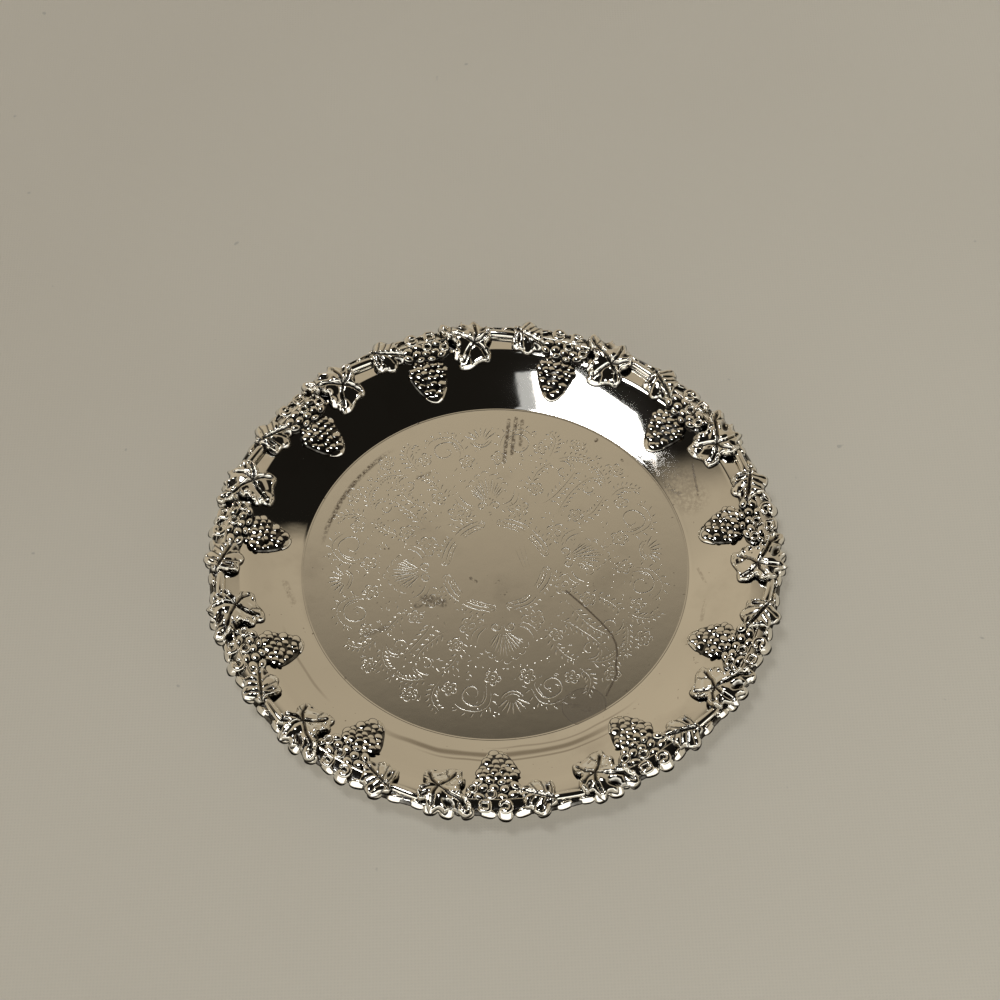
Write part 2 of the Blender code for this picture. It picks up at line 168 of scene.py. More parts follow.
class Wire:
    """One output socket. Maths on it adds Math nodes."""

    def __init__(self, tree, socket):
        self.tree = tree
        self.socket = socket

    def maths(self, operation, *values):
        return self.tree.node("ShaderNodeMath", {"operation": operation}, dict(enumerate(values)))

    __add__ = operator("ADD")
    __radd__ = operator("ADD", reflected=True)
    __sub__ = operator("SUBTRACT")
    __rsub__ = operator("SUBTRACT", reflected=True)
    __mul__ = operator("MULTIPLY")
    __rmul__ = operator("MULTIPLY", reflected=True)
    __truediv__ = operator("DIVIDE")
    __rtruediv__ = operator("DIVIDE", reflected=True)
    __pow__ = operator("POWER")
    smallest = operator("MINIMUM")
    largest = operator("MAXIMUM")

    def size(self):
        return self.maths("ABSOLUTE", self)

    def rise(self, low, high):
        """0 below low, 1 above high, and a smooth step between; low may be the larger."""
        sockets = {0: self, 1: low, 2: high, 3: 0.0, 4: 1.0}
        if low > high:
            sockets = {0: self, 1: high, 2: low, 3: 1.0, 4: 0.0}
        return self.tree.node("ShaderNodeMapRange", {"interpolation_type": "SMOOTHSTEP"}, sockets)


class Tree:
    """The node tree of a material or of the world."""

    def __init__(self, owner):
        owner.use_nodes = True
        self.nodes = owner.node_tree.nodes
        self.links = owner.node_tree.links
        self.nodes.clear()

    def node(self, kind, settings=None, sockets=None, output=0):
        """A new node: its settings first, then the values or links of its sockets."""
        made = self.nodes.new(kind)
        for name, value in (settings or {}).items():
            if name == "stops":
                self.set_stops(made.color_ramp, value)
            else:
                setattr(made, name, value)
        for name, value in (sockets or {}).items():
            if isinstance(value, Wire):
                self.links.new(value.socket, made.inputs[name])
            else:
                made.inputs[name].default_value = value
        return Wire(self, made.outputs[output]) if made.outputs else None

    def set_stops(self, ramp, stops):
        while len(ramp.elements) < len(stops):
            ramp.elements.new(0.5)
        for element, (place, colour) in zip(ramp.elements, stops):
            element.position = place
            element.color = colour

    def mix(self, share, first, second):
        """A blend of two colours."""
        return self.node("ShaderNodeMix", {"data_type": "RGBA"}, {0: share, 6: first, 7: second}, output=2)

    def tint(self, colour, share):
        """A colour times a number."""
        colour = colour if isinstance(colour, Wire) else colour[:3]
        return self.node("ShaderNodeVectorMath", {"operation": "SCALE"}, {0: colour, "Scale": share})

    def part(self, vector, axis):
        """One coordinate of a vector."""
        return self.node("ShaderNodeSeparateXYZ", None, {0: vector}, output="XYZ".index(axis))

    def cloud(self, vector, scale, detail=2.0, roughness=0.5):
        """Soft noise from 0 to 1."""
        sockets = {"Vector": vector, "Scale": scale, "Detail": detail, "Roughness": roughness}
        return self.node("ShaderNodeTexNoise", None, sockets)


def grey(value):
    return (value, value, value, 1.0)


print("shader helpers ready")

# %% [markdown]
# ## The surroundings
# Polished silver has hardly any colour of its own: it shows what stands round it. This dish mirrors dark
# overhead, pale light from the sides, brighter light low down, a wide bright band low on the near side,
# and one large white panel a little to the left of overhead. The world shader paints them all by
# direction, so the same light falls on the cloth and fills the mirror. Each edge of the panel is a
# straight line in the flattened sky, where a direction's x and y alone give its place. A pair of numbers
# below is the start and the end of a soft step from one light to the next.

# %% Paint the light from all round
SIDE_LIGHT = (0.43, 0.367, 0.272, 1.0)
LOW_LIGHT = (0.50, 0.45, 0.36, 1.0)
NEAR_LIGHT = (1.5, 1.48, 1.4, 1.0)
PANEL_LIGHT = (11.0, 11.2, 11.4, 1.0)
PANEL_DIM = 0.045
OVERHEAD_DARK = (0.009, 0.008, 0.0065, 1.0)
PANEL_EDGES = (
    (-1.0, 0.0, 0.07), (1.0, 0.0, -0.385), (0.776, 0.631, -0.26), (0.0, 1.0, -0.12), (-0.30, -0.95, -0.10),
)
PANEL_SOFTNESS = 0.008
PANEL_DIM_SIDE = (-0.115, -0.125)
LOW_HEIGHT = (0.30, 0.18)
NEAR_SIDE = (-0.35, -0.43)
NEAR_FOOT = (0.06, 0.08)
NEAR_HEAD = (0.46, 0.42)
OVERHEAD_HEIGHT = (0.60, 0.66)
OVERHEAD_EDGE = (0.575, 0.405)
OVERHEAD_EDGE_RIGHT = (0.435, 0.375)
RIGHT_SIDE = (0.24, 0.36)
OPEN_LEFT = (-0.31, -0.42)
OPEN_FAR = (0.18, 0.36)


def paint_surroundings():
    world = bpy.data.worlds.new("surroundings")
    scene.world = world
    tree = Tree(world)
    direction = tree.node("ShaderNodeTexCoord", output=0)
    x, y, z = (tree.part(direction, axis) for axis in "XYZ")
    wobble = tree.cloud(direction, 3.1, 1.0) - 0.5
    patch = 0.86 + 0.28 * tree.cloud(direction, 2.3, 2.0)
    colour = tree.mix(z.rise(*LOW_HEIGHT), tree.tint(SIDE_LIGHT, patch * (1.0 - 0.18 * x)), LOW_LIGHT)
    near = y.rise(*NEAR_SIDE) * z.rise(*NEAR_FOOT) * z.rise(*NEAR_HEAD)
    colour = tree.mix(near, colour, NEAR_LIGHT)
    level = y + 0.05 * wobble
    edge = tree.node("ShaderNodeMix", None, {
        0: x.rise(*RIGHT_SIDE), 2: level.rise(*OVERHEAD_EDGE), 3: level.rise(*OVERHEAD_EDGE_RIGHT),
    })
    open_side = x.rise(*OPEN_LEFT) * y.rise(*OPEN_FAR)
    overhead = edge * (z - 0.2 * y + 0.1 * wobble).rise(*OVERHEAD_HEIGHT) * (1.0 - 0.9 * open_side)
    colour = tree.mix(overhead, colour, OVERHEAD_DARK)
    panel = z.rise(0.0, 0.1)
    for across, along, limit in PANEL_EDGES:
        panel = panel * (across * x + along * y - limit).rise(0.0, PANEL_SOFTNESS)
    panel = panel * (PANEL_DIM + (1 - PANEL_DIM) * x.rise(*PANEL_DIM_SIDE))
    colour = tree.mix(panel, colour, PANEL_LIGHT)
    background = tree.node("ShaderNodeBackground", None, {"Color": colour, "Strength": 1.0})
    tree.node("ShaderNodeOutputWorld", None, {"Surface": background})


paint_surroundings()
print("panel edges:", len(PANEL_EDGES))

# %% [markdown]
# ## The cloth under the dish
# The dish stands on a pale greige cloth. It is a wide grid, flat under the dish and lifted by a few very
# soft folds further out. The fine weave is too small to model, so it is a bump of two crossed waves.

# %% Lay the cloth
CLOTH_SIZE = 5.0
CLOTH_CELLS = 220
CLOTH_DROP = 0.05 * MM
FOLD_HEIGHT = 2.2 * MM
FOLD_LENGTH = 190 * MM
CLOTH_COLOUR = (0.445, 0.418, 0.354, 1.0)
CLOTH_SHADE = (0.365, 0.336, 0.280, 1.0)
CLOTH_FADE = 1.6
CLOTH_FILL = 0.53
WEAVE_PITCH = 0.9 * MM
FLAT_REACH = 95 * MM
FOLD_FADE = 160 * MM
LINT_GREY = 0.12
THREAD_GREY = 0.24


def fold_height(x, y):
    """Soft folds that fade out under the dish."""
    away = min(1.0, max(0.0, (math.hypot(x, y) - FLAT_REACH) / FOLD_FADE))
    soft = noise.noise(Vector((x / FOLD_LENGTH, 0.7 * y / FOLD_LENGTH, 2.5)))
    return -CLOTH_DROP + FOLD_HEIGHT * away * away * (3 - 2 * away) * (soft - 0.2)


def cloth_finish():
    material = bpy.data.materials.new("greige_cloth")
    tree = Tree(material)
    place = tree.node("ShaderNodeTexCoord", output=3)
    # At scale 1 the wave texture repeats after 2 pi / 20 metres.
    threads = 2 * math.pi / 20 / WEAVE_PITCH
    warp = tree.node("ShaderNodeTexWave", {"bands_direction": "X"}, {"Vector": place, "Scale": threads})
    weft = tree.node("ShaderNodeTexWave", {"bands_direction": "Y"}, {"Vector": place, "Scale": threads})
    slub = tree.cloud(place, 900.0, 3.0, 0.65)
    weave = warp * weft + 0.8 * slub
    east, north = tree.part(place, "X"), tree.part(place, "Y")
    # Painted shade: the cloth is darker towards the north-west, in soft patches.
    drift = 0.5 + (north - east) * CLOTH_FADE + 0.5 * (tree.cloud(place, 6.0, 2.0) - 0.5)
    drift = drift.smallest(1.0).largest(0.0)
    lint = tree.cloud(place, 160.0, 2.0).rise(0.755, 0.785)
    colour = tree.mix(drift, CLOTH_COLOUR, CLOTH_SHADE)
    colour = tree.mix(0.10 * weave, colour, grey(THREAD_GREY))
    colour = tree.mix(0.35 * lint, colour, grey(LINT_GREY))
    bump = tree.node("ShaderNodeBump", None, {"Strength": 0.25, "Distance": 0.1 * MM, "Height": weave})
    # The cloth glows for camera and glossy rays: painted fill light that lifts it and the dish's shadow on
    # it.
    seen = tree.node("ShaderNodeLightPath") + tree.node("ShaderNodeLightPath", output=3)
    shader = tree.node(
        "ShaderNodeBsdfPrincipled", None,
        {
            "Base Color": colour, "Roughness": 0.9, "Specular IOR Level": 0.2, "Normal": bump,
            "Emission Color": colour, "Emission Strength": CLOTH_FILL * seen.smallest(1.0),
        },
    )
    tree.node("ShaderNodeOutputMaterial", None, {"Surface": shader})
    return material


def lay_cloth():
    steps = [CLOTH_SIZE * (i / CLOTH_CELLS - 0.5) for i in range(CLOTH_CELLS + 1)]
    vertices = [(x, y, fold_height(x, y)) for y in steps for x in steps]
    row = CLOTH_CELLS + 1
    faces = [
        (j * row + i, j * row + i + 1, (j + 1) * row + i + 1, (j + 1) * row + i)
        for j in range(CLOTH_CELLS) for i in range(CLOTH_CELLS)
    ]
    mesh = bpy.data.meshes.new("cloth")
    mesh.from_pydata(vertices, [], faces)
    mesh.shade_smooth()
    cloth = bpy.data.objects.new("cloth", mesh)
    mesh.materials.append(cloth_finish())
    scene.collection.objects.link(cloth)
    return cloth


cloth = lay_cloth()
print("cloth faces:", len(cloth.data.polygons))

# %% [markdown]
# ## Plated silver
# All the pieces are plated alike, so one function makes each finish: a metal with a faint warm tint, a
# polish that is never quite even, brown stains, and near-black in hollows, creases, undersides and along low
# edges. That near-black is partly tarnish where a cloth can't reach and partly painted shade. Each mesh
# carries a number called hollow, from 0 on the high parts to 1 deep down, and the near-black reads it.

# %% Make a silver finish
SILVER = (0.90, 0.865, 0.79, 1.0)
TARNISH = (0.16, 0.115, 0.07, 1.0)
# Near-black for the hollow number: partly tarnish, partly painted shade.
DARK_TARNISH_AND_SHADE = (0.014, 0.011, 0.008, 1.0)


def blotches(tree, place):
    """Faint brown clouds and small specks, as on metal that has not been polished for years."""
    cloudy = tree.cloud(place, 45.0, 4.0, 0.6).rise(0.52, 0.78)
    specks = tree.cloud(place, 620.0, 2.0, 0.5).rise(0.70, 0.76)
    patches = tree.cloud(place, 60.0, 1.0).rise(0.48, 0.62)
    return 0.16 * cloudy + 0.75 * specks * patches


def silver_finish(name, polish, waviness, hollow_depth, marks=None, frost=0.25):
    """A plated finish. marks adds stains and painted reflected bands, and frost is how much hollows scatter
    light.
    """
    material = bpy.data.materials.new(name)
    tree = Tree(material)
    place = tree.node("ShaderNodeTexCoord", output=3)
    hollow = tree.node("ShaderNodeAttribute", {"attribute_name": "hollow"}, output=2)
    stain_and_reflection = blotches(tree, place)
    if marks:
        stain_and_reflection = stain_and_reflection.largest(marks(tree, place))
    # Near-black by the hollow number: tarnish in hollows, and painted shade in creases, under edges and
    # between parts.
    deep = (hollow_depth * hollow * (0.7 + 0.6 * tree.cloud(place, 400.0, 2.0))).smallest(1.0)
    colour = tree.mix(stain_and_reflection, SILVER, TARNISH)
    colour = tree.mix(deep, colour, DARK_TARNISH_AND_SHADE)
    uneven = tree.cloud(place, 130.0, 3.0)
    satin = polish(tree, place) if callable(polish) else polish
    roughness = satin * (0.85 + 0.3 * uneven) + 0.25 * stain_and_reflection + frost * deep / hollow_depth
    wave = tree.cloud(place, 260.0, 2.0)
    bump = tree.node("ShaderNodeBump", None, {"Strength": 1.0, "Distance": waviness, "Height": wave})
    shader = tree.node(
        "ShaderNodeBsdfPrincipled", None,
        {"Base Color": colour, "Metallic": 1.0, "Roughness": roughness, "Normal": bump},
    )
    tree.node("ShaderNodeOutputMaterial", None, {"Surface": shader})
    return material


print("silver colour", SILVER[:3])

# %% [markdown]
# ## Meshes by hand
# The castings are free forms: they are built from points and faces. A small class gathers the parts of
# one casting, each closed in itself, with the hollow number of every point. Rods, bands and turned walls
# are all rings of points with faces between them, so one helper makes those faces.


# %% Gather the parts of a casting
def ring_faces(rings, count):
    """Four-cornered faces between rings of points, each with the same count."""
    faces = []
    for ring in range(rings - 1):
        low, high = ring * count, (ring + 1) * count
        for step in range(count):
            after = (step + 1) % count
            faces.append((low + step, low + after, high + after, high + step))
    return faces


class Casting:
    """The points, faces and hollow numbers of one piece."""

    def __init__(self):
        self.points = []
        self.faces = []
        self.hollow = []

    def add(self, points, faces, hollow=None):
        start = len(self.points)
        self.points += [tuple(point) for point in points]
        self.faces += [tuple(start + index for index in face) for face in faces]
        self.hollow += list(hollow) if hollow is not None else [0.0] * len(points)

    def mesh(self, name, flat_from=None):
        """The mesh, smooth but for the faces from flat_from on."""
        mesh = bpy.data.meshes.new(name)
        mesh.from_pydata(self.points, [], self.faces)
        work = bmesh.new()
        work.from_mesh(mesh)
        bmesh.ops.recalc_face_normals(work, faces=work.faces)
        work.to_mesh(mesh)
        work.free()
        mesh.shade_smooth()
        if flat_from is not None:
            for polygon in mesh.polygons[flat_from:]:
                polygon.use_smooth = False
        attribute = mesh.attributes.new("hollow", "FLOAT", "POINT")
        attribute.data.foreach_set("value", self.hollow)
        return mesh


def set_piece(name, mesh, material, node, radius=0.0, azimuth=math.pi / 2):
    """Stands a piece at a radius and an azimuth, its own +Y outwards, in the place of a solid."""
    piece = bpy.data.objects.new(name, mesh)
    if not mesh.materials:
        mesh.materials.append(material)
    piece.location = (radius * math.cos(azimuth), radius * math.sin(azimuth), 0.0)
    piece.rotation_euler.z = azimuth - math.pi / 2
    scene.collection.objects.link(piece)
    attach(piece, "root")
    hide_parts(node)
    return piece


print("casting helper ready")

# %% [markdown]
# ## The engraving on the floor
# The floor is engraved with scrolls, shells, flowers and sprays. A graver cuts a V: a stroke that starts
# and ends in a point and is widest between. Each stroke is kept as a line with a width. A stroke that
# would run over an earlier one stops short of it, as an engraver's does, so no two grooves ever cross.

# %% Keep the strokes apart
STROKE_STEP = 0.38 * MM
STROKE_MARGIN = 0.07 * MM
FINE_CUT = 0.30 * MM
BOLD_CUT = 0.44 * MM
LEAF_CUT = 0.52 * MM
DOT_SIZE = 0.42 * MM
PATTERN_TURN = math.radians(4.5)
PATTERN_MIDDLE = Vector((0.3 * MM, 0.6 * MM))
PATTERN_REACH = 50.5 * MM
FREEHAND = 0.7 * MM
FREEHAND_LENGTH = 6 * MM
POINTED_SWELL = 0.8
BLUNT_SWELL = 0.35


class Engraving:
    """Strokes cut into the floor, each a list of (point, half width)."""

    def __init__(self):
        self.strokes = []
        self.taken = {}

    def free(self, spot, half):
        column, row = int(spot.x // MM), int(spot.y // MM)
        if spot.length > PATTERN_REACH:
            return False
        for i in range(column - 1, column + 2):
            for j in range(row - 1, row + 2):
                for other, width in self.taken.get((i, j), ()):
                    if (other - spot).length < half + width + STROKE_MARGIN:
                        return False
        return True

    def cut(self, line, width, blunt=False, turned_in=True):
        """Cuts along a line of points given in the pattern's own frame."""
        spots = [self.placed(point) if turned_in else Vector(point) for point in line]
        spots = evenly(spots, STROKE_STEP)
        run = []
        for spot in spots + [None]:
            if spot is not None and self.free(spot, width / 2):
                run.append(spot)
                continue
            self.keep(run, width, blunt)
            run = []

    def placed(self, point):
        """A point of the pattern on the dish, where the pattern lies a little turned."""
        spot = Vector((point[0], point[1]))
        spot.rotate(Matrix.Rotation(PATTERN_TURN, 2))
        where = Vector((spot.x, spot.y, 0.0)) / FREEHAND_LENGTH
        sway = Vector((noise.noise(where), noise.noise(where + Vector((9.0, 4.0, 2.0)))))
        return spot + PATTERN_MIDDLE + FREEHAND * sway

    def keep(self, run, width, blunt):
        if len(run) < 3:
            return
        last = len(run) - 1
        stroke = []
        for index, spot in enumerate(run):
            ease = max(0.0, math.sin(math.pi * index / last))
            swell = ease ** (BLUNT_SWELL if blunt else POINTED_SWELL)
            stroke.append((spot, width / 2 * swell))
        self.strokes.append(stroke)
        for spot, half in stroke:
            self.taken.setdefault((int(spot.x // MM), int(spot.y // MM)), []).append((spot, half))


def evenly(spots, step):
    """Points at one spacing along a line, its two ends included."""
    lengths = [0.0]
    for first, second in zip(spots, spots[1:]):
        lengths.append(lengths[-1] + (second - first).length)
    count = max(2, round(lengths[-1] / step))
    found, index = [], 0
    for number in range(count + 1):
        along = lengths[-1] * number / count
        while index < len(spots) - 2 and lengths[index + 1] < along:
            index += 1
        span = lengths[index + 1] - lengths[index]
        share = (along - lengths[index]) / span if span else 0.0
        found.append(spots[index].lerp(spots[index + 1], share))
    return found


engraving = Engraving()
print("strokes are at most", LEAF_CUT / MM, "mm wide")

# %% [markdown]
# Curves of the pattern are arcs, spirals and easy bends. Each drawing function returns plain points, and
# a mirror repeats them on the other side. The motifs are old ones that every engraver knew: a C-scroll,
# a shell, a flower, a spray of leaves and a trail of beads.


# %% Draw with arcs, spirals and bends
def polar(centre, radius, degrees):
    angle = math.radians(degrees)
    return (centre[0] + radius * math.cos(angle), centre[1] + radius * math.sin(angle))


def arc(centre, radius, start, end):
    steps = max(4, int(abs(end - start) / 9))
    return [polar(centre, radius, start + (end - start) * i / steps) for i in range(steps + 1)]


def spiral(centre, first, last, start, end):
    """An arc whose radius changes from first to last."""
    steps = max(6, int(abs(end - start) / 12))
    return [
        polar(centre, first + (last - first) * i / steps, start + (end - start) * i / steps)
        for i in range(steps + 1)
    ]


def bend(start, middle, end):
    """A curve from start to end that is drawn towards middle."""
    points = []
    for i in range(9):
        t = i / 8
        points.append(tuple(
            (1 - t) ** 2 * a + 2 * t * (1 - t) * b + t * t * c for a, b, c in zip(start, middle, end)
        ))
    return points


def about(points, quarter, flip):
    """Points drawn for the north of the pattern, turned by quarters and mirrored if asked."""
    angle = math.radians(90 * quarter)
    turned_points = []
    for x, y in points:
        x = -x if flip else x
        turned_points.append((
            x * math.cos(angle) + y * math.sin(angle), y * math.cos(angle) - x * math.sin(angle),
        ))
    return turned_points


class Quarter:
    """Cuts motifs in one quarter of the pattern, each with its mirror image."""

    def __init__(self, quarter):
        self.quarter = quarter

    def cut(self, points, width=FINE_CUT, blunt=False, mirror=True):
        for flip in (False, True) if mirror else (False,):
            engraving.cut(about([(x * MM, y * MM) for x, y in points], self.quarter, flip), width, blunt)

    def bead(self, x, y, size=DOT_SIZE):
        reach = size / MM / 2
        self.cut([(x - 1.1 * reach, y), (x, y), (x + 1.1 * reach, y)], size, blunt=True)

    def leaf_cut(self, x, y, degrees, length=2.0, width=LEAF_CUT):
        tip = polar((x, y), length, degrees)
        side = polar((x, y), length / 2, degrees + 12)
        self.cut(bend((x, y), side, tip), width)

    def beads(self, count, radius, first, spacing):
        """A row of beads round the dish's middle, from one azimuth on."""
        for step in range(count):
            self.bead(*polar((0, 0), radius, first - spacing * step))

    def leaves(self, count, centre, radius, first, spacing, lean, length):
        """A row of single leaves round a centre, each leaned from its own direction."""
        for step in range(count):
            degrees = first - spacing * step
            self.leaf_cut(*polar(centre, radius, degrees), degrees + lean, length, BOLD_CUT)

    def flower(self, x, y, radius, petals=6, turn=0):
        self.cut(arc((x, y), 0.28 * radius, turn, turn + 345), FINE_CUT, blunt=True)
        for petal in range(petals):
            degrees = turn + 360 * petal / petals
            middle = polar((x, y), 0.70 * radius, degrees)
            self.cut(arc(middle, 0.34 * radius, degrees - 125, degrees + 125), BOLD_CUT, blunt=True)
            self.leaf_cut(*polar((x, y), 0.50 * radius, degrees), degrees, 0.30 * radius, FINE_CUT)

    def spray(self, points, leaf):
        """A stem with leaves cut in pairs along it."""
        self.cut(points, FINE_CUT)
        for index in range(1, len(points) - 1):
            (x0, y0), (x, y), (x1, y1) = points[index - 1], points[index], points[index + 1]
            along = math.degrees(math.atan2(y1 - y0, x1 - x0))
            for side in (1, -1):
                degrees = along + side * 48
                base = polar((x, y), 0.45, degrees)
                self.leaf_cut(*base, degrees, leaf * (1 - 0.4 * index / len(points)))


print("motifs: C-scroll, shell, flower, spray, beads")

# %% [markdown]
# The pattern has four quarters. Each holds a bracket of three lines round the plain middle, a shell on
# the axis, flowers beside it, and beyond them a cartouche of two scrolls with sprays on its diagonals.

# %% Cut the four quarters
BRACKET_RADIUS = 14.3
BRACKET_END = 13.0
FLECKS = 420
FLECK_RING = (17.5, 49.0)
BRACKET_LINES = ((1.45, 43.5, BOLD_CUT), (0.15, 41.0, BOLD_CUT), (-1.25, 38.5, FINE_CUT))
SPRAYS = (
    ((12.6, 21.8), (12.4, 30.0), (19.8, 33.6), 2.3), ((15.4, 19.6), (22.4, 22.4), (27.0, 30.4), 2.3),
    ((19.2, 35.2), (24.4, 40.0), (20.2, 44.6), 2.4), ((21.8, 34.0), (28.8, 35.6), (31.6, 31.4), 2.0),
)


def bracket(quarter):
    """Half a bracket on each side of the axis: three lines that swing from a curled end to the diagonal."""
    for offset, end, width in BRACKET_LINES:
        quarter.cut(arc((0, 0), BRACKET_RADIUS + offset, 90 - BRACKET_END, 90 - end), width, blunt=True)
    turn = 90 - BRACKET_END
    middle = polar((0, 0), BRACKET_RADIUS + 0.1, turn + 1.0)
    quarter.cut(spiral(middle, 1.4, 0.45, turn + 12, turn + 470), FINE_CUT, True)
    quarter.beads(6, BRACKET_RADIUS - 0.55, turn - 4.0, 4.0)
    quarter.leaves(5, (0, 0), BRACKET_RADIUS + 2.0, turn - 5.0, 5.5, -25, 1.3)


def shell(quarter, ribs=4):
    """A fan of ribs on the axis, scalloped at its end and held by two small scrolls."""
    base = (0.0, 20.6)
    for rib in range(ribs):
        degrees = 90 - 13 * rib
        length = 10.2 - 0.9 * rib
        start = polar(base, 1.6, degrees)
        mirror = rib > 0
        quarter.cut([start, polar(base, length, degrees)], LEAF_CUT, mirror=mirror)
        quarter.cut([polar(base, 3.0, degrees - 6.5), polar(base, length - 0.8, degrees - 6.5)], FINE_CUT)
        middle = polar(base, length + 0.5, degrees)
        quarter.cut(arc(middle, 1.05, degrees - 80, degrees + 80), FINE_CUT, True, mirror=mirror)
    quarter.cut(spiral((2.0, 20.2), 1.7, 0.4, 200, -250), BOLD_CUT, True)
    quarter.cut(bend((3.6, 20.4), (7.5, 21.0), (8.2, 25.2)), BOLD_CUT)
    quarter.cut(bend((4.4, 19.2), (8.8, 20.0), (9.6, 24.2)), FINE_CUT)
    quarter.beads(6, 33.6, 90 - 2.2, 3.4)


def cartouche(quarter):
    """Two facing C-scrolls with a flower between them, at the pattern's edge."""
    scroll, fan = (11.0, 40.6), (0.0, 42.6)
    quarter.cut(spiral(scroll, 4.6, 1.1, 215, -250), BOLD_CUT, True)
    quarter.cut(arc(scroll, 5.5, 190, 20), FINE_CUT, True)
    quarter.cut(arc(scroll, 3.5, 190, 60), FINE_CUT, True)
    quarter.leaves(7, scroll, 6.0, 175, 22, -30, 1.7)
    quarter.flower(4.9, 36.4, 2.3, 5, 20)
    quarter.cut(arc((0.0, 44.4), 3.4, 200, 340), BOLD_CUT, True, mirror=False)
    quarter.cut(arc((0.0, 44.4), 2.5, 205, 335), FINE_CUT, True, mirror=False)
    for step in range(4):
        degrees = 90 - 19 * step
        quarter.cut([polar(fan, 1.6, degrees), polar(fan, 5.6, degrees)], LEAF_CUT, mirror=step > 0)
    for step in range(5):
        quarter.bead(5.6 + 1.15 * step, 46.9 - 0.42 * step)


def side_ornament(quarter):
    """Flowers by the bracket, and a spray that swings out along each diagonal."""
    quarter.flower(8.6, 18.9, 3.1, 6, 12)
    quarter.flower(14.2, 24.6, 2.1, 5, 40)
    for start, middle, end, leaf in SPRAYS:
        quarter.spray(bend(start, middle, end), leaf)
    quarter.cut(spiral((22.9, 30.0), 3.3, 0.8, 100, -300), BOLD_CUT, True)
    quarter.cut(spiral((22.9, 30.0), 4.1, 3.2, 95, -60), FINE_CUT, True)
    quarter.flower(17.2, 38.4, 2.0, 5, 0)
    quarter.flower(28.4, 38.6, 2.2, 6, 15)
    quarter.beads(9, 37.4, 68, 2.0)
    quarter.beads(6, 27.2, 71, 2.6)
    quarter.leaves(8, (0, 0), 48.2, 74, 4.0, 200, 1.7)


def fleck_ground():
    """Short flecks that fill the ground between the motifs, each turned along the ring."""
    draw = random.Random(11)
    for _ in range(FLECKS):
        radius, degrees = draw.uniform(*FLECK_RING), draw.uniform(0, 360)
        x, y = polar((0, 0), radius, degrees)
        tip = polar((x, y), draw.uniform(0.8, 1.7), degrees + draw.choice((50, 90, 130, 230)))
        engraving.cut([(x * MM, y * MM), (tip[0] * MM, tip[1] * MM)], draw.choice((FINE_CUT, BOLD_CUT)))


for number in range(4):
    quarter = Quarter(number)
    bracket(quarter)
    shell(quarter)
    cartouche(quarter)
    side_ornament(quarter)
fleck_ground()
print("strokes:", len(engraving.strokes), "points:", sum(len(s) for s in engraving.strokes))

# %% [markdown]
# Years of use have left scratches too. They are shallow strokes of the same kind: a long curved one at
# the lower right, a short bent one at the left, and three fine ones in the plain middle.

# %% Add the scratches of use
LONG_SCRATCH = ((19.4, -11.5), (26.3, -18.9), (31.5, -29.4), (31.9, -36.8), (28.4, -42.1))
BENT_SCRATCH = ((-50.2, 4.4), (-49.2, 5.2), (-45.7, 5.8), (-44.2, 6.6))
SCRATCH_WIDTH = 0.16 * MM


def scratch(points):
    engraving.cut([(x * MM, y * MM) for x, y in points], SCRATCH_WIDTH, turned_in=False)


scratch(LONG_SCRATCH)
scratch(BENT_SCRATCH)
for number in range(3):
    scratch((
        (5.8 + 1.3 * number, 6.2 + 0.7 * number), (6.9 + 1.1 * number, 2.9), (8.3 + 0.9 * number, -1.2),
    ))
print("strokes with scratches:", len(engraving.strokes))

# %% [markdown]
# ## The pan
# The wall and the flange are turned: a profile goes round the axis. The floor inside is flat, so its
# triangles can have any shape, and a constrained triangulation can take the two edges and the bottom of
# every stroke as its own edges. Only the bottoms are then lowered, and each groove is a true V. Spinning
# rounds the bend at the flange. It is softer on the near side, so the flange slopes a little inwards there.

# %% Turn the wall and cut the floor
PAN_STEPS = 288
WALL_ROWS = 22
CREASE_ROUND = 0.5 * MM
FLOOR_RIDGE = ((-0.5, 0.0), (-0.3, 0.02), (-0.13, 0.03), (-0.04, 0.03), (0.10, 0.01))
FLANGE_EASE = 0.35 * MM
SOFT_EASE = 3.6 * MM
EDGE_ROUND = 0.25 * MM
GROOVE_SLOPE = math.tan(math.radians(9))
GROOVE_DARK = 0.02 * MM
DENTS = (
    (63.5, 148.0, 9.0, 0.050), (60.0, 163.0, 6.0, -0.030), (66.0, 128.0, 8.0, 0.035),
    (64.0, 30.0, 9.0, -0.035), (62.0, 5.0, 8.0, 0.030), (65.0, -40.0, 10.0, 0.030),
    (63.0, 205.0, 9.0, -0.030), (64.0, 235.0, 8.0, 0.030), (61.0, -75.0, 9.0, -0.025),
)


def dent_height(x, y):
    """Shallow dents in the wall: (radius, azimuth, size, depth), in millimetres and degrees."""
    height = 0.0
    for radius, azimuth, size, depth in DENTS:
        middle = polar((0, 0), radius, azimuth)
        away = math.hypot(x / MM - middle[0], y / MM - middle[1]) / size
        height += depth * math.exp(-4 * away * away)
    return height * MM


def eased_height(radius, ease):
    """The upper face with its bend at the flange rounded over."""
    if radius < FLANGE_INNER - ease:
        return pan_height(radius)
    offsets = [ease * share / 4 for share in range(-4, 5)]
    return sum(pan_height(radius + offset) for offset in offsets) / len(offsets)


def bend_sag(radius, degrees):
    """How much lower the bend at the flange is where it is softer, on the near side of the dish."""
    soft = min(1.0, max(0.0, 0.5 - 1.2 * math.sin(math.radians(degrees))))
    return soft * (eased_height(radius, SOFT_EASE) - eased_height(radius, FLANGE_EASE))


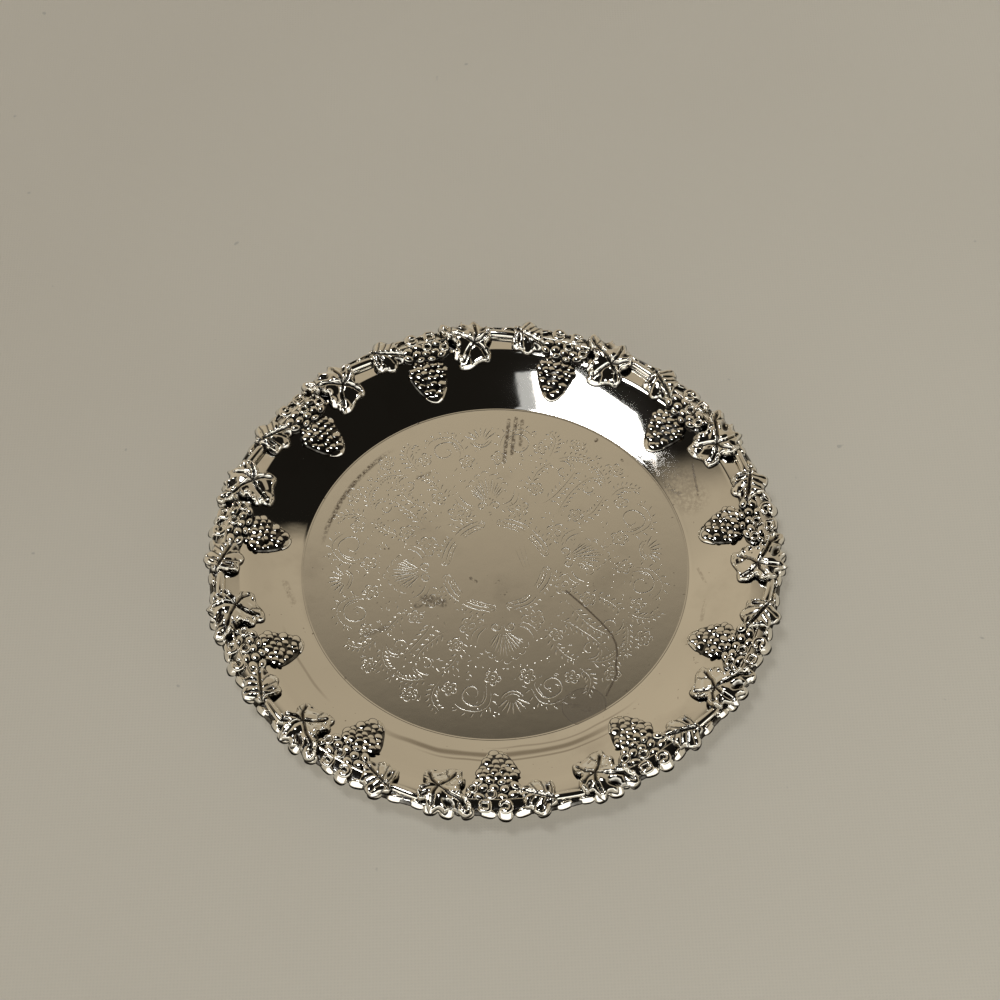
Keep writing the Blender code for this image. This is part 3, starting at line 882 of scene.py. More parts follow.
def wall_profile():
    """Radius and height up the inside of the wall and over the flange's edge.

    The last row lies where the underside's first one does, so the sheet's edge doesn't fade into the bend
    below it.
    """
    rows = [(FLOOR_RADIUS + out * MM, SHEET + lift * MM) for out, lift in FLOOR_RIDGE]
    for row in range(WALL_ROWS + 1):
        radius = FLOOR_RADIUS + CREASE_ROUND / 2 + (WALL_RUN - CREASE_ROUND) * row / WALL_ROWS
        rows.append((radius, eased_height(radius, FLANGE_EASE)))
    sharp_rows = [FLANGE_EASE * row / 4 for row in range(1, 5)]
    soft_rows = [SOFT_EASE * row / 5 for row in range(1, 6)]
    for out in sharp_rows + soft_rows:
        rows.append((FLANGE_INNER + out, eased_height(FLANGE_INNER + out, FLANGE_EASE)))
    corner = (FLANGE_OUTER - EDGE_ROUND, FLANGE_TOP - EDGE_ROUND)
    rows += [polar(corner, EDGE_ROUND, degrees) for degrees in (90, 45, 0)]
    rows.append((FLANGE_OUTER, WALL_RISE + EDGE_ROUND))
    return rows


def under_profile():
    """Radius and height down the outside of the wall to the underside's edge."""
    lean = math.atan2(WALL_RISE, WALL_RUN)
    shift = SHEET * math.tan(lean / 2)
    rows = [(FLANGE_OUTER, WALL_RISE + EDGE_ROUND), (FLANGE_OUTER - EDGE_ROUND, WALL_RISE)]
    for row in range(WALL_ROWS, -1, -2):
        radius = FLOOR_RADIUS + WALL_RUN * row / WALL_ROWS
        rows.append((radius + shift, pan_height(radius) - SHEET))
    rows.append((FLOOR_RADIUS, 0.0))
    return rows


def turned_rows(casting, rows, dented):
    """Adds rows of points round the axis, joined to each other; returns the first row's start."""
    start = len(casting.points)
    points = []
    for radius, height in rows:
        for step in range(PAN_STEPS):
            degrees = 360 * step / PAN_STEPS
            x, y = polar((0, 0), radius, degrees)
            lift = dent_height(x, y) if dented and FLOOR_RADIUS < radius < FLANGE_INNER else 0.0
            lift += bend_sag(radius, degrees) if dented and radius < FLANGE_OUTER - 2 * EDGE_ROUND else 0.0
            points.append((x, y, height + lift))
    casting.add(points, ring_faces(len(rows), PAN_STEPS))
    return start


def stroke_lines(stroke):
    """A stroke's first edge, its bottom and its other edge, each a list of (point, depth)."""
    last = len(stroke) - 1
    edge, bottom, other_edge = [], [], []
    for index, (spot, half) in enumerate(stroke):
        ahead, behind = stroke[min(index + 1, last)][0], stroke[max(index - 1, 0)][0]
        along = (ahead - behind).normalized()
        across = Vector((-along.y, along.x)) * half
        bottom.append((spot, half * GROOVE_SLOPE))
        if 0 < index < last:
            edge.append((spot - across, 0.0))
            other_edge.append((spot + across, 0.0))
    return edge, bottom, other_edge


def floor_part(casting, ring):
    """The engraved floor inside a ring of points that the casting already has."""
    points = [Vector(casting.points[index][:2]) / MM for index in ring]
    edges = [(i, (i + 1) % len(points)) for i in range(len(points))]
    depths = {}
    for stroke in engraving.strokes:
        for line in stroke_lines(stroke):
            edges += [(i, i + 1) for i in range(len(points), len(points) + len(line) - 1)]
            for spot, depth in line:
                depths[len(points)] = depth
                points.append(spot / MM)
    found, _, triangles, origins, _, _ = delaunay_2d_cdt(points, edges, [], 1, 1e-5)
    kept, hollow, numbers = [], [], []
    for place, ids in zip(found, origins):
        outer = [i for i in ids if i < len(ring)]
        if outer:
            numbers.append(ring[outer[0]])
            continue
        depth = max([depths.get(i, 0.0) for i in ids], default=0.0)
        numbers.append(len(casting.points) + len(kept))
        kept.append((place.x * MM, place.y * MM, SHEET - depth))
        hollow.append(min(1.0, depth / GROOVE_DARK))
    start = len(casting.faces)
    casting.add(kept, [], hollow)
    casting.faces += [tuple(numbers[i] for i in triangle) for triangle in triangles]
    return start


def pan_casting():
    casting = Casting()
    upper = turned_rows(casting, wall_profile(), dented=True)
    under = turned_rows(casting, under_profile(), dented=False)
    rim = under - PAN_STEPS
    casting.faces += [tuple(rim + index for index in face) for face in ring_faces(2, PAN_STEPS)]
    last = len(casting.points) - PAN_STEPS
    casting.add([(0.0, 0.0, 0.0)], [])
    middle = len(casting.points) - 1
    casting.faces += [(last + (s + 1) % PAN_STEPS, last + s, middle) for s in range(PAN_STEPS)]
    flat_from = floor_part(casting, list(range(upper, upper + PAN_STEPS)))
    return casting, flat_from


pan_work, flat_from = pan_casting()
pan_mesh = pan_work.mesh("spun_pan", flat_from)
print("pan: points", len(pan_mesh.vertices), "faces", len(pan_mesh.polygons))

# %% [markdown]
# ## The pan's own marks
# Tarnish has run and spread in places that the photograph shows: a brown smear at the top of the floor, a
# speckled arc at its upper left edge and a cluster left of the middle. Each is a soft shape round a short
# line or arc, broken up by noise. Brown bands on the wall, mostly on its near side, are painted reflections.
# They, a thin dark line beside the long scratch and the round spot of a dried drop, with its darker rim, are
# drawn whole. All of them are painted in the dish's own coordinates, so they stay in place from every side.

# %% Stain the pan, paint reflected bands on its wall, and finish it
SMEARS = (
    (5.4, 51.0, 3.6, 36.5, 0.75, 0.85), (7.6, 51.6, 5.9, 39.0, 0.8, 0.8), (9.4, 50.6, 8.6, 42.0, 0.8, 0.6),
    (-20.4, -9.4, -14.9, -11.4, 1.7, 0.75), (-22.6, -12.0, -19.0, -11.6, 1.1, 0.6),
    (-31.0, -18.6, -37.0, -21.0, 1.3, 0.4), (30.9, 42.6, 31.2, 43.0, 0.7, 1.0),
    (-7.1, -3.4, -5.5, -4.6, 0.6, 0.8), (16.4, -44.2, 24.6, -46.6, 1.6, 0.6),
    (38.2, 35.6, 38.4, 35.2, 0.5, 0.8), (-21.8, 31.4, -18.4, 32.8, 0.9, 0.5),
    (47.2, 34.8, 48.6, 29.6, 0.8, 0.9), (58.4, 31.5, 59.4, 21.0, 0.45, 0.8),
    (51.0, 25.5, 54.5, 22.0, 1.2, 0.5), (47.5, 36.5, 57.5, 20.0, 6.5, 0.25),
    (57.8, -3.0, 59.6, -8.6, 0.6, 0.3), (59.0, -14.0, 57.4, -20.4, 0.8, 0.25),
    (-57.5, -10.0, -59.8, -4.0, 1.4, 0.25),
)
DARK_LINE = (
    (20.0, -8.6), (25.3, -14.3), (29.3, -19.1), (32.0, -23.0), (33.2, -26.3), (33.3, -29.7), (32.7, -33.5),
    (32.9, -35.9), (29.6, -42.4),
)
DARK_LINE_LOOK = (0.42, 0.8)
WATER_SPOT = (23.4, -45.6, 6.1)
SPOT_RIM = 0.3
SPOT_STRENGTH = 0.34
SPOT_RIM_STRENGTH = 0.6
TARNISH_ARC = (50.6, 1.0, 147, 24, 0.9)
# Painted reflections: brown bands on the wall, mostly on its near side.
REFLECTED_BANDS = (
    (60.6, 1.3, -90, 38, 0.6), (62.6, 0.5, -84, 30, 0.45), (58.2, 0.5, -72, 24, 0.35),
    (63.0, 0.6, -150, 14, 0.3),
)
WALL_POLISH = 0.035
FLOOR_POLISH = 0.11


def smear(tree, place, x0, y0, x1, y1, width, strength):
    """A soft streak along a short line, in millimetres."""
    start, span = Vector((x0, y0, 0)) * MM, Vector((x1 - x0, y1 - y0, 0)) * MM

    def vector(operation, sockets, output=0):
        return tree.node("ShaderNodeVectorMath", {"operation": operation}, sockets, output)

    away = vector("SUBTRACT", {0: vector("MULTIPLY", {0: place, 1: (1, 1, 0)}), 1: start})
    share = vector("DOT_PRODUCT", {0: away, 1: span}, output=1) / span.length_squared
    along = vector("SCALE", {0: tuple(span), "Scale": share.largest(0.0).smallest(1.0)})
    gap = vector("DISTANCE", {0: away, 1: along}, output=1)
    return strength * gap.rise(width * MM, 0.35 * width * MM)


def arc_mark(radius, turn, middle, width, azimuth, spread, strength):
    """A mark that follows a circle round the dish's middle, fading out at both ends."""
    line = (radius - middle * MM).size().rise(width * MM, 0.2 * width * MM)
    off_turn = (turn - math.radians(azimuth)).size()
    return strength * line * off_turn.rise(math.radians(spread), math.radians(0.5 * spread))


def dried_drop(tree, place, east, north):
    """A faint round spot with a darker, wavy rim."""
    x, y, size = WATER_SPOT
    away = ((east - x * MM) ** 2.0 + (north - y * MM) ** 2.0) ** 0.5
    away = away + 1.6 * MM * (tree.cloud(place, 160.0, 1.0) - 0.5)
    inner = (size - SPOT_RIM) * MM
    spot = SPOT_STRENGTH * away.rise(size * MM, inner)
    return spot.largest(SPOT_RIM_STRENGTH * (away - inner).size().rise(0.35 * MM, 0.1 * MM))


def strongest(marks):
    """The strongest of several marks at each place."""
    answer = marks[0]
    for mark in marks[1:]:
        answer = answer.largest(mark)
    return answer


def pan_marks(tree, place):
    east, north = tree.part(place, "X"), tree.part(place, "Y")
    radius = (east * east + north * north) ** 0.5 + 2.4 * MM * (tree.cloud(place, 70.0, 1.0) - 0.5)
    turn = east.maths("ARCTAN2", north, east)
    streaks = [smear(tree, place, *row) for row in SMEARS] + [arc_mark(radius, turn, *TARNISH_ARC)]
    broken = strongest(streaks) * tree.cloud(place, 900.0, 3.0, 0.7).rise(0.36, 0.60)
    whole = [arc_mark(radius, turn, *row) for row in REFLECTED_BANDS]
    for start, end in zip(DARK_LINE, DARK_LINE[1:]):
        whole.append(smear(tree, place, *start, *end, *DARK_LINE_LOOK))
    drop = dried_drop(tree, place, east, north) * radius.rise(FLOOR_RADIUS, FLOOR_RADIUS - 0.3 * MM)
    return strongest([broken] + whole + [drop])


def pan_polish(tree, place):
    """The wall is a mirror, and the engraved floor is worn to a satin."""
    east, north = tree.part(place, "X"), tree.part(place, "Y")
    radius = (east * east + north * north) ** 0.5
    return WALL_POLISH + (FLOOR_POLISH - WALL_POLISH) * radius.rise(FLOOR_RADIUS, FLOOR_RADIUS - 0.5 * MM)


polished = silver_finish("polished_silver", pan_polish, 0.006 * MM, 0.16, pan_marks, 0.27)
set_piece("spun_pan", pan_mesh, polished, "dish_pan")
print("marks on the pan:", len(SMEARS) + len(REFLECTED_BANDS) + 3)

# %% [markdown]
# ## A leaf's relief
# A cast leaf is a plate with a bevelled, knobbly edge. Each vein is a deep crease between two pillows, and
# side veins are narrow slots. The height is worked out at each point from its distances to the nearest
# vein and to the edge, so the pillows between fill any outline. The leaf as a whole is a ridge: its inner
# half slopes with the wall and its outer half droops over the rim. Its back follows what it laps.

# %% Fill an outline with triangles
LEAF_GRID = 0.30 * MM
LEAF_STEP = 0.28 * MM
BACK_GRID = 1.3 * MM


def closed_curve(corners, step):
    """A closed curve through corners, sampled at one spacing."""
    count = len(corners)
    points = []
    for index in range(count):
        a, b, c, d = (corners[(index + k) % count] for k in (-1, 0, 1, 2))
        steps = max(2, round((c - b).length / step))
        for number in range(steps):
            t = number / steps
            points.append(0.5 * (
                2 * b + (c - a) * t + (2 * a - 5 * b + 4 * c - d) * t ** 2 + (3 * b - 3 * c + d - a) * t ** 3
            ))
    return points


def beside(line, offset, closed=False):
    """A line moved sideways, to its left, by an offset."""
    last = len(line) - 1
    moved = []
    for index, spot in enumerate(line):
        after = line[(index + 1) % len(line)] if closed else line[min(index + 1, last)]
        before = line[index - 1] if closed else line[max(index - 1, 0)]
        along = (after - before).normalized()
        moved.append(spot + Vector((-along.y, along.x)) * offset)
    return moved


def table(spots):
    """A list of points as rows of numbers."""
    return np.array([tuple(spot) for spot in spots])


def inside(spots, outline):
    """Which spots lie inside a closed outline."""
    answer = np.zeros(len(spots), bool)
    for first, second in zip(outline, outline[1:] + outline[:1]):
        crosses = (first.y > spots[:, 1]) != (second.y > spots[:, 1])
        rise = second.y - first.y if second.y != first.y else 1e-12
        answer ^= crosses & (spots[:, 0] < first.x + (spots[:, 1] - first.y) * (second.x - first.x) / rise)
    return answer


def gap_to(spots, lines):
    """Each spot's distance to the nearest of the lines."""
    best = np.full(len(spots), 1e9)
    for line in lines:
        for first, second in zip(line, line[1:]):
            span = np.array(second - first)
            share = np.clip(((spots - np.array(first)) @ span) / max(span @ span, 1e-18), 0, 1)
            gap = np.linalg.norm(spots - np.array(first) - share[:, None] * span, axis=1)
            best = np.minimum(best, gap)
    return best


def gap_to_edge(spots, outline):
    return gap_to(spots, [outline + outline[:1]])


def grid_inside(outline, lines, spacing, edge_margin, line_margin):
    """Points of a six-sided grid inside an outline, clear of it and of the lines."""
    xs, ys = [p.x for p in outline], [p.y for p in outline]
    rows = np.arange(min(ys), max(ys), spacing * 0.866)
    spots = []
    for number, y in enumerate(rows):
        columns = np.arange(min(xs) + spacing / 2 * (number % 2), max(xs), spacing)
        spots += [(x, y) for x in columns]
    spots = np.array(spots)
    keep = inside(spots, outline) & (gap_to_edge(spots, outline) > edge_margin)
    if lines:
        keep &= gap_to(spots, lines) > line_margin
    return [Vector(spot) for spot in spots[keep]]


def fill(outline, lines, grid):
    """Triangles inside an outline that keep the lines: points, triangles, and the outline's indices."""
    points = list(outline)
    edges = [(i, (i + 1) % len(outline)) for i in range(len(outline))]
    for line in lines:
        start = len(points)
        points += line
        edges += [(start + i, start + i + 1) for i in range(len(line) - 1)]
    points += grid
    found, _, triangles, origins, _, _ = delaunay_2d_cdt([p / MM for p in points], edges, [], 1, 1e-5)
    rim = {index: new for new, ids in enumerate(origins) for index in ids if index < len(outline)}
    return table(found) * MM, triangles, [rim[i] for i in range(len(outline))]


def rim_rows(outline, depths):
    """Rows of points inside an outline at the given depths, dropped where the outline is too narrow."""
    spots = []
    for depth in depths:
        row = table(beside(outline, depth, closed=True))
        keep = inside(row, outline) & (gap_to_edge(row, outline) > 0.93 * depth)
        spots += [Vector(spot) for spot in row[keep]]
    return spots


def close_sides(casting, outline, face_rim, rear_rim, rear_start):
    """Joins a front face to the back along the outline."""
    count = len(outline)
    for index in range(count):
        after = (index + 1) % count
        casting.faces.append((
            rear_start + rear_rim[index], rear_start + rear_rim[after], face_rim[after], face_rim[index],
        ))


print("leaf grid of", LEAF_GRID / MM, "mm")

# %% [markdown]
# A leaf is drawn about its heart, where the veins meet. Its edge is a short list of lobes and notches by
# direction and reach. Each vein is a line from the heart, hollows are deep dimples with a place, a length
# and width, a turn and a depth, and bosses are knobs with a place, a size and a rise.

# %% Cast a leaf
CREASE_HALF = 0.80 * MM
CREASE_DEPTH = 0.85 * MM
SIDE_CREASE = 0.34 * MM
SIDE_CREASE_HALF = 0.24 * MM
BEVEL = 0.72 * MM
KNOB_SHARES = (0.55, 2.2)
KNOB_SHARE = 2.0
BEVEL_POWER = 1.25
CROWN_RUN = 2.2 * MM
CREST_RADIUS = 76.8 * MM
CREST_SPREAD = 3.8 * MM
CREST_FADE = 0.5 * MM
VEIN_FADE = 0.6 * MM
LEAST_THICKNESS = 0.2 * MM
KNOB_SIZE = 1.5 * MM
LUMP_SIZE = 1.9 * MM
LUMP_SHARE = 0.34
CROWN_SHARE = 0.16
DARK_HALF = 0.3 * MM
DARK_EDGE = 0.2 * MM
CREASE_ROWS = [row / 4 for row in range(-4, 5)]
BEVEL_ROWS = (0.14, 0.4, 0.7, 1.0)


def bumps(spots, size, shift=(0, 0, 0)):
    """Soft noise at each spot, in lumps of one size."""
    return np.array([noise.noise(Vector((x, y, 0)) / size + Vector(shift)) for x, y in spots])


def oval(spots, x, y, long, short, degrees):
    """1 in the middle of a turned oval, falling away softly round its edge."""
    away = spots - np.array((x, y)) * MM
    turn = math.radians(degrees)
    along = (away[:, 0] * math.cos(turn) + away[:, 1] * math.sin(turn)) / (long * MM)
    across = (away[:, 1] * math.cos(turn) - away[:, 0] * math.sin(turn)) / (short * MM)
    return np.exp(-(along ** 2 + across ** 2) ** 1.5)


class Leaf:
    """A leaf's drawing and relief, about its heart, with +Y outwards on the dish."""

    def __init__(self, edge, veins, side_veins, hollows, bosses, centre_radius, puff, crest):
        corners = [Vector(polar((0, 0), reach * MM, degrees)) for degrees, reach in edge]
        self.outline = closed_curve(corners, LEAF_STEP)
        self.veins = [self.line(points) for points in veins]
        self.side_veins = [self.line(points) for points in side_veins]
        self.hollows = hollows
        self.bosses = bosses
        self.centre_radius = centre_radius
        self.puff = puff
        self.crest = crest

    def line(self, points):
        """A vein's points, spaced as the grid is and kept inside the edge."""
        return self.well_inside(evenly([Vector(point) * MM for point in points], LEAF_STEP), 0.25 * MM)

    def well_inside(self, spots, margin):
        """The spots that lie inside the edge by a margin."""
        rows = table(spots)
        keep = inside(rows, self.outline) & (gap_to_edge(rows, self.outline) > margin)
        return [spot for spot, good in zip(spots, keep) if good]

    def seat(self, spots):
        """The height of what the leaf lies on, and each spot's radius on the dish."""
        radii = np.hypot(spots[:, 0], spots[:, 1] + self.centre_radius)
        return np.array([lap_height(radius) for radius in radii]), radii

    def relief(self, spots, radii):
        """Height over the seat, and the hollow number: tarnish and painted shade along veins, slots, pits
        and the edge.
        """
        to_edge = gap_to_edge(spots, self.outline)
        to_vein = gap_to(spots, self.veins)
        to_side = gap_to(spots, self.side_veins) / SIDE_CREASE_HALF
        knobs = bumps(spots, KNOB_SIZE)
        lumps = bumps(spots, LUMP_SIZE, (7, 3, 1))
        bevel = BEVEL * np.clip(1 + KNOB_SHARE * knobs, *KNOB_SHARES)
        inward = np.minimum(1, to_edge / bevel)
        plate = self.puff * (1 - (1 - inward) ** BEVEL_POWER)
        crown = CROWN_SHARE * np.minimum(1, to_edge / CROWN_RUN) * np.minimum(1, to_vein / CROWN_RUN)
        crease = (1 + np.cos(math.pi * np.minimum(to_vein / CREASE_HALF, 1.0))) / 2
        slot = np.exp(-to_side ** 2)
        fade = np.minimum(1, to_edge / VEIN_FADE)
        swell = self.crest * np.exp(-((radii - CREST_RADIUS) / CREST_SPREAD) ** 2)
        height = LEAST_THICKNESS + swell * np.minimum(1, to_edge / CREST_FADE)
        height = height + plate * (1 + crown + LUMP_SHARE * lumps)
        height = height - fade * np.maximum(CREASE_DEPTH * crease, SIDE_CREASE * slot)
        # Tarnish and painted shade: dark along the veins' creases, in the side slots and pits, and round the
        # edge.
        dark = np.maximum(np.exp(-(to_vein / DARK_HALF) ** 2), slot ** 2)
        dark = np.maximum(dark, np.clip(1.3 - to_edge / DARK_EDGE, 0, 1))
        for x, y, long, short, degrees, depth in self.hollows:
            pit = oval(spots, x, y, long, short, degrees)
            height = height - depth * MM * pit
            dark = np.maximum(dark, pit)
        for x, y, size, rise in self.bosses:
            height = height + rise * MM * oval(spots, x, y, size, size, 0)
        return np.maximum(height, LEAST_THICKNESS), dark

    def casting(self):
        """The leaf as a closed piece: its relief in front, its seat behind."""
        veins = [line for line in self.veins if len(line) > 1]
        lines = [beside(line, share * CREASE_HALF) for line in veins for share in CREASE_ROWS]
        lines = [self.well_inside(line, 0.1 * MM) for line in lines]
        lines = [line for line in lines if len(line) > 1]
        rim = rim_rows(self.outline, [share * BEVEL for share in BEVEL_ROWS])
        grid = grid_inside(self.outline, veins, LEAF_GRID, 1.2 * BEVEL, 1.2 * CREASE_HALF)
        face, face_triangles, face_rim = fill(self.outline, lines, rim + grid)
        rear_grid = grid_inside(self.outline, [], BACK_GRID, 0.5 * BACK_GRID, 0)
        rear, rear_triangles, rear_rim = fill(self.outline, [], rear_grid)
        seat, radii = self.seat(face)
        height, dark = self.relief(face, radii)
        height[face_rim] = LEAST_THICKNESS
        casting = Casting()
        casting.add(np.column_stack((face, seat + height)), face_triangles, dark)
        start = len(casting.points)
        rear_seat, _ = self.seat(rear)
        casting.add(np.column_stack((rear, rear_seat)), [t[::-1] for t in rear_triangles], [1.0] * len(rear))
        close_sides(casting, self.outline, face_rim, rear_rim, start)
        return casting


LARGE_LEAF_EDGE = (
    (27, 6.2), (50, 6.9), (60, 5.7), (69, 6.4), (86, 8.4), (101, 6.9), (113, 8.6), (124, 8.0),
    (133, 9.2), (138, 11.6), (147, 12.3), (156, 11.2), (166, 8.6), (184, 5.7), (200, 7.0), (213, 7.6),
    (222, 7.2), (235, 8.5), (246, 8.1), (257, 7.4), (279, 5.9), (294, 6.3), (308, 6.9), (322, 6.2),
    (336, 5.2), (352, 3.7), (8, 5.0),
)
LARGE_LEAF_VEINS = (
    ((0, 0), (-3.6, 2.2), (-6.8, 3.4), (-8.6, 5.4)),
    ((0, 0), (0.9, 2.6), (0.6, 5.9)),
    ((0, 0), (2.2, 0.6), (4.2, 2.2)),
    ((0, 0), (-1.8, -2.0), (-3.4, -5.0)),
    ((0, 0), (2.3, -1.8), (3.4, -4.0)),
)
LARGE_LEAF_SIDE_VEINS = (
    ((-6.8, 3.0), (-6.4, 5.2), (-6.6, 7.6)), ((-5.0, 1.9), (-6.4, 1.0), (-6.9, -0.6)),
    ((-2.4, -3.0), (-1.2, -4.4), (-1.0, -6.0)), ((1.8, -2.2), (3.4, -2.2), (4.8, -2.8)),
)
LARGE_LEAF_HOLLOWS = (
    (-3.7, 5.0, 1.9, 0.9, -25, 1.1), (-7.0, 1.2, 1.2, 0.5, 35, 0.8), (3.0, 3.6, 1.2, 0.5, 40, 0.7),
)
LARGE_LEAF_BOSSES = (
    (-9.6, 4.2, 0.75, 0.8), (-7.9, 2.7, 0.7, 0.8), (-6.2, 1.2, 0.7, 0.75), (-4.9, -0.4, 0.75, 0.9),
    (-5.3, -2.6, 0.75, 0.8), (-4.5, -4.5, 0.7, 0.8), (5.0, 3.3, 0.7, 0.7), (2.2, -5.6, 0.7, 0.6),
)
SMALL_LEAF_EDGE = (
    (27, 4.7), (41, 5.1), (55, 4.4), (76, 5.3), (98, 6.0), (113, 5.6), (128, 4.9), (139, 5.4), (150, 5.8),
    (166, 5.0), (182, 4.5), (202, 5.4), (222, 6.1), (234, 5.6), (246, 4.9), (260, 5.4), (274, 5.6),
    (287, 5.2), (300, 4.7), (315, 5.6), (330, 6.2), (345, 5.4), (0, 4.5),
)
SMALL_LEAF_VEINS = (
    ((-5.0, 2.2), (-1.6, 0.6), (2.0, -1.0), (4.9, -2.6)),
)
SMALL_LEAF_SIDE_VEINS = (
    ((-3.6, 2.2), (-3.0, 3.4), (-2.4, 4.4)), ((-2.2, 1.5), (-1.0, 3.2), (-0.2, 4.9)),
    ((-0.7, 0.9), (0.8, 2.6), (1.8, 4.0)), ((0.9, 0.3), (2.2, 1.7), (3.2, 2.8)),
    ((2.4, -0.5), (3.6, 0.4), (4.3, 1.0)), ((-3.6, 0.9), (-3.9, -1.0), (-3.6, -3.2)),
    ((-1.9, 0.2), (-1.7, -2.2), (-1.2, -4.4)), ((-0.1, -0.7), (0.9, -2.6), (1.5, -4.2)),
)
SMALL_LEAF_BOSSES = ((-3.9, 1.9, 0.7, 0.6), (-3.2, -2.9, 0.6, 0.5), (4.1, -2.0, 0.7, 0.5))
SMALL_LEAF_HOLLOWS = ((-2.8, -1.6, 0.45, 1.4, 0, 0.8), (2.6, -3.0, 1.0, 0.45, -30, 0.8))

large_leaf = Leaf(
    LARGE_LEAF_EDGE, LARGE_LEAF_VEINS, LARGE_LEAF_SIDE_VEINS, LARGE_LEAF_HOLLOWS, LARGE_LEAF_BOSSES,
    LARGE_LEAF_RADIUS, 0.95 * MM, 1.3 * MM,
)
small_leaf = Leaf(
    SMALL_LEAF_EDGE, SMALL_LEAF_VEINS, SMALL_LEAF_SIDE_VEINS, SMALL_LEAF_HOLLOWS, SMALL_LEAF_BOSSES,
    SMALL_LEAF_RADIUS, 0.85 * MM, 1.1 * MM,
)
large_leaf_mesh = large_leaf.casting().mesh("large_leaf")
small_leaf_mesh = small_leaf.casting().mesh("small_leaf")
print("large leaf faces:", len(large_leaf_mesh.polygons), "small:", len(small_leaf_mesh.polygons))

# %% [markdown]
# ## Round forms: rods, bands and berries
# The vine's stem, its knuckle and the bunch's curled tendrils are all rods: a circle swept along a line,
# with round ends. Collars, strips and the outer strand are bands: one closed shape carried along a line.
# Berries and buds are flattened spheres, pressed flat where they would go into the pan.


# %% Sweep rods and bands, and round a bud
ROUND_END = ((0.0, 1.0), (0.38, 0.92), (0.71, 0.71), (0.92, 0.38))
BUD_UNSHADED_TOP = 0.64
BUD_FADE = 0.18
BUD_LUMP = 0.9 * MM


def rod(casting, points, radii, sides=14, hollow_low=0.0):
    """A round rod through points, each with its own radius, closed by round ends.

    hollow_low is the hollow number along its underside: tarnish and painted shade under the rod.
    """
    points = [Vector(point) for point in points]
    rings = []
    last = len(points) - 1
    for index, (point, radius) in enumerate(zip(points, radii)):
        along = (points[min(index + 1, last)] - points[max(index - 1, 0)]).normalized()
        caps = ROUND_END[:1]
        if index == 0:
            caps = [(-shift, size) for shift, size in ROUND_END[::-1]]
        if index == last:
            caps = ROUND_END
        rings += [(point + along * radius * shift, along, radius * size) for shift, size in caps]
    vertices, hollow = [], []
    for middle, along, radius in rings:
        side = along.cross(Vector((0, 0, 1))).normalized()
        up = side.cross(along)
        for step in range(sides):
            angle = 2 * math.pi * step / sides
            vertices.append(middle + radius * (math.cos(angle) * side + math.sin(angle) * up))
            hollow.append(hollow_low * max(0.0, -math.sin(angle)))
    ends = [tuple(range(sides)), tuple(range(len(vertices) - sides, len(vertices)))]
    casting.add(vertices, ring_faces(len(rings), sides) + ends, hollow)


def bud(casting, centre, axes, turn=0.0, floor=None, rough=0.0, lean=0.0, segments=18, rings=11):
    """An egg with three half axes, leaned and turned, lumpy if rough, pressed flat on a floor height."""
    vertices, faces, hollow = [], [], []
    spin = Matrix.Rotation(turn, 3, "Z") @ Matrix.Rotation(lean, 3, "X")
    for ring in range(1, rings):
        tilt = math.pi * ring / rings
        for step in range(segments):
            angle = 2 * math.pi * step / segments
            spot = Vector((
                axes[0] * math.sin(tilt) * math.cos(angle), axes[1] * math.sin(tilt) * math.sin(angle),
                axes[2] * math.cos(tilt),
            ))
            spot = Vector(centre) + spin @ spot
            spot.z += rough * noise.noise(spot / BUD_LUMP) * math.sin(tilt)
            vertices.append(spot)
            # Tarnish and painted shade: each bud is bright on its top cap and dark below it, down to its
            # underside.
            hollow.append(min(1.0, max(0.0, (BUD_UNSHADED_TOP - math.cos(tilt)) / BUD_FADE)))
    vertices += [Vector(centre) + Vector((0, 0, axes[2])), Vector(centre) - Vector((0, 0, axes[2]))]
    hollow += [0.0, 1.0]
    top, bottom = len(vertices) - 2, len(vertices) - 1
    for ring in range(rings - 2):
        for step in range(segments):
            after = (step + 1) % segments
            low, high = ring * segments, (ring + 1) * segments
            faces.append((low + step, high + step, high + after, low + after))
    for step in range(segments):
        after = (step + 1) % segments
        faces.append((top, step, after))
        faces.append((bottom, (rings - 2) * segments + after, (rings - 2) * segments + step))
    if floor is not None:
        vertices = [Vector((v.x, v.y, max(v.z, floor(v)))) for v in vertices]
    casting.add(vertices, faces, hollow)


def swept(casting, sections, hollow):
    """A closed band through sections that have the same count of points."""
    count = len(sections[0])
    last = (len(sections) - 1) * count
    ends = [tuple(range(count))[::-1], tuple(range(last, last + count))]
    points = [spot for section in sections for spot in section]
    casting.add(points, ring_faces(len(sections), count) + ends, hollow * len(sections))


print("rods, bands and buds ready")

# %% [markdown]
# ## The bunch of grapes
# The hanging bunch is a rounded shield with low berries pressed into a mound, so that only its flanks
# catch the bright band. Berries lie as oranges do in a box, row between row, and a fixed seed varies them
# a little. A narrow neck joins the shield to the shoulder, where curled tendrils and narrow buds lie in a
# heap. A smooth bevelled collar goes round the tip, and berries that would touch it are left out.

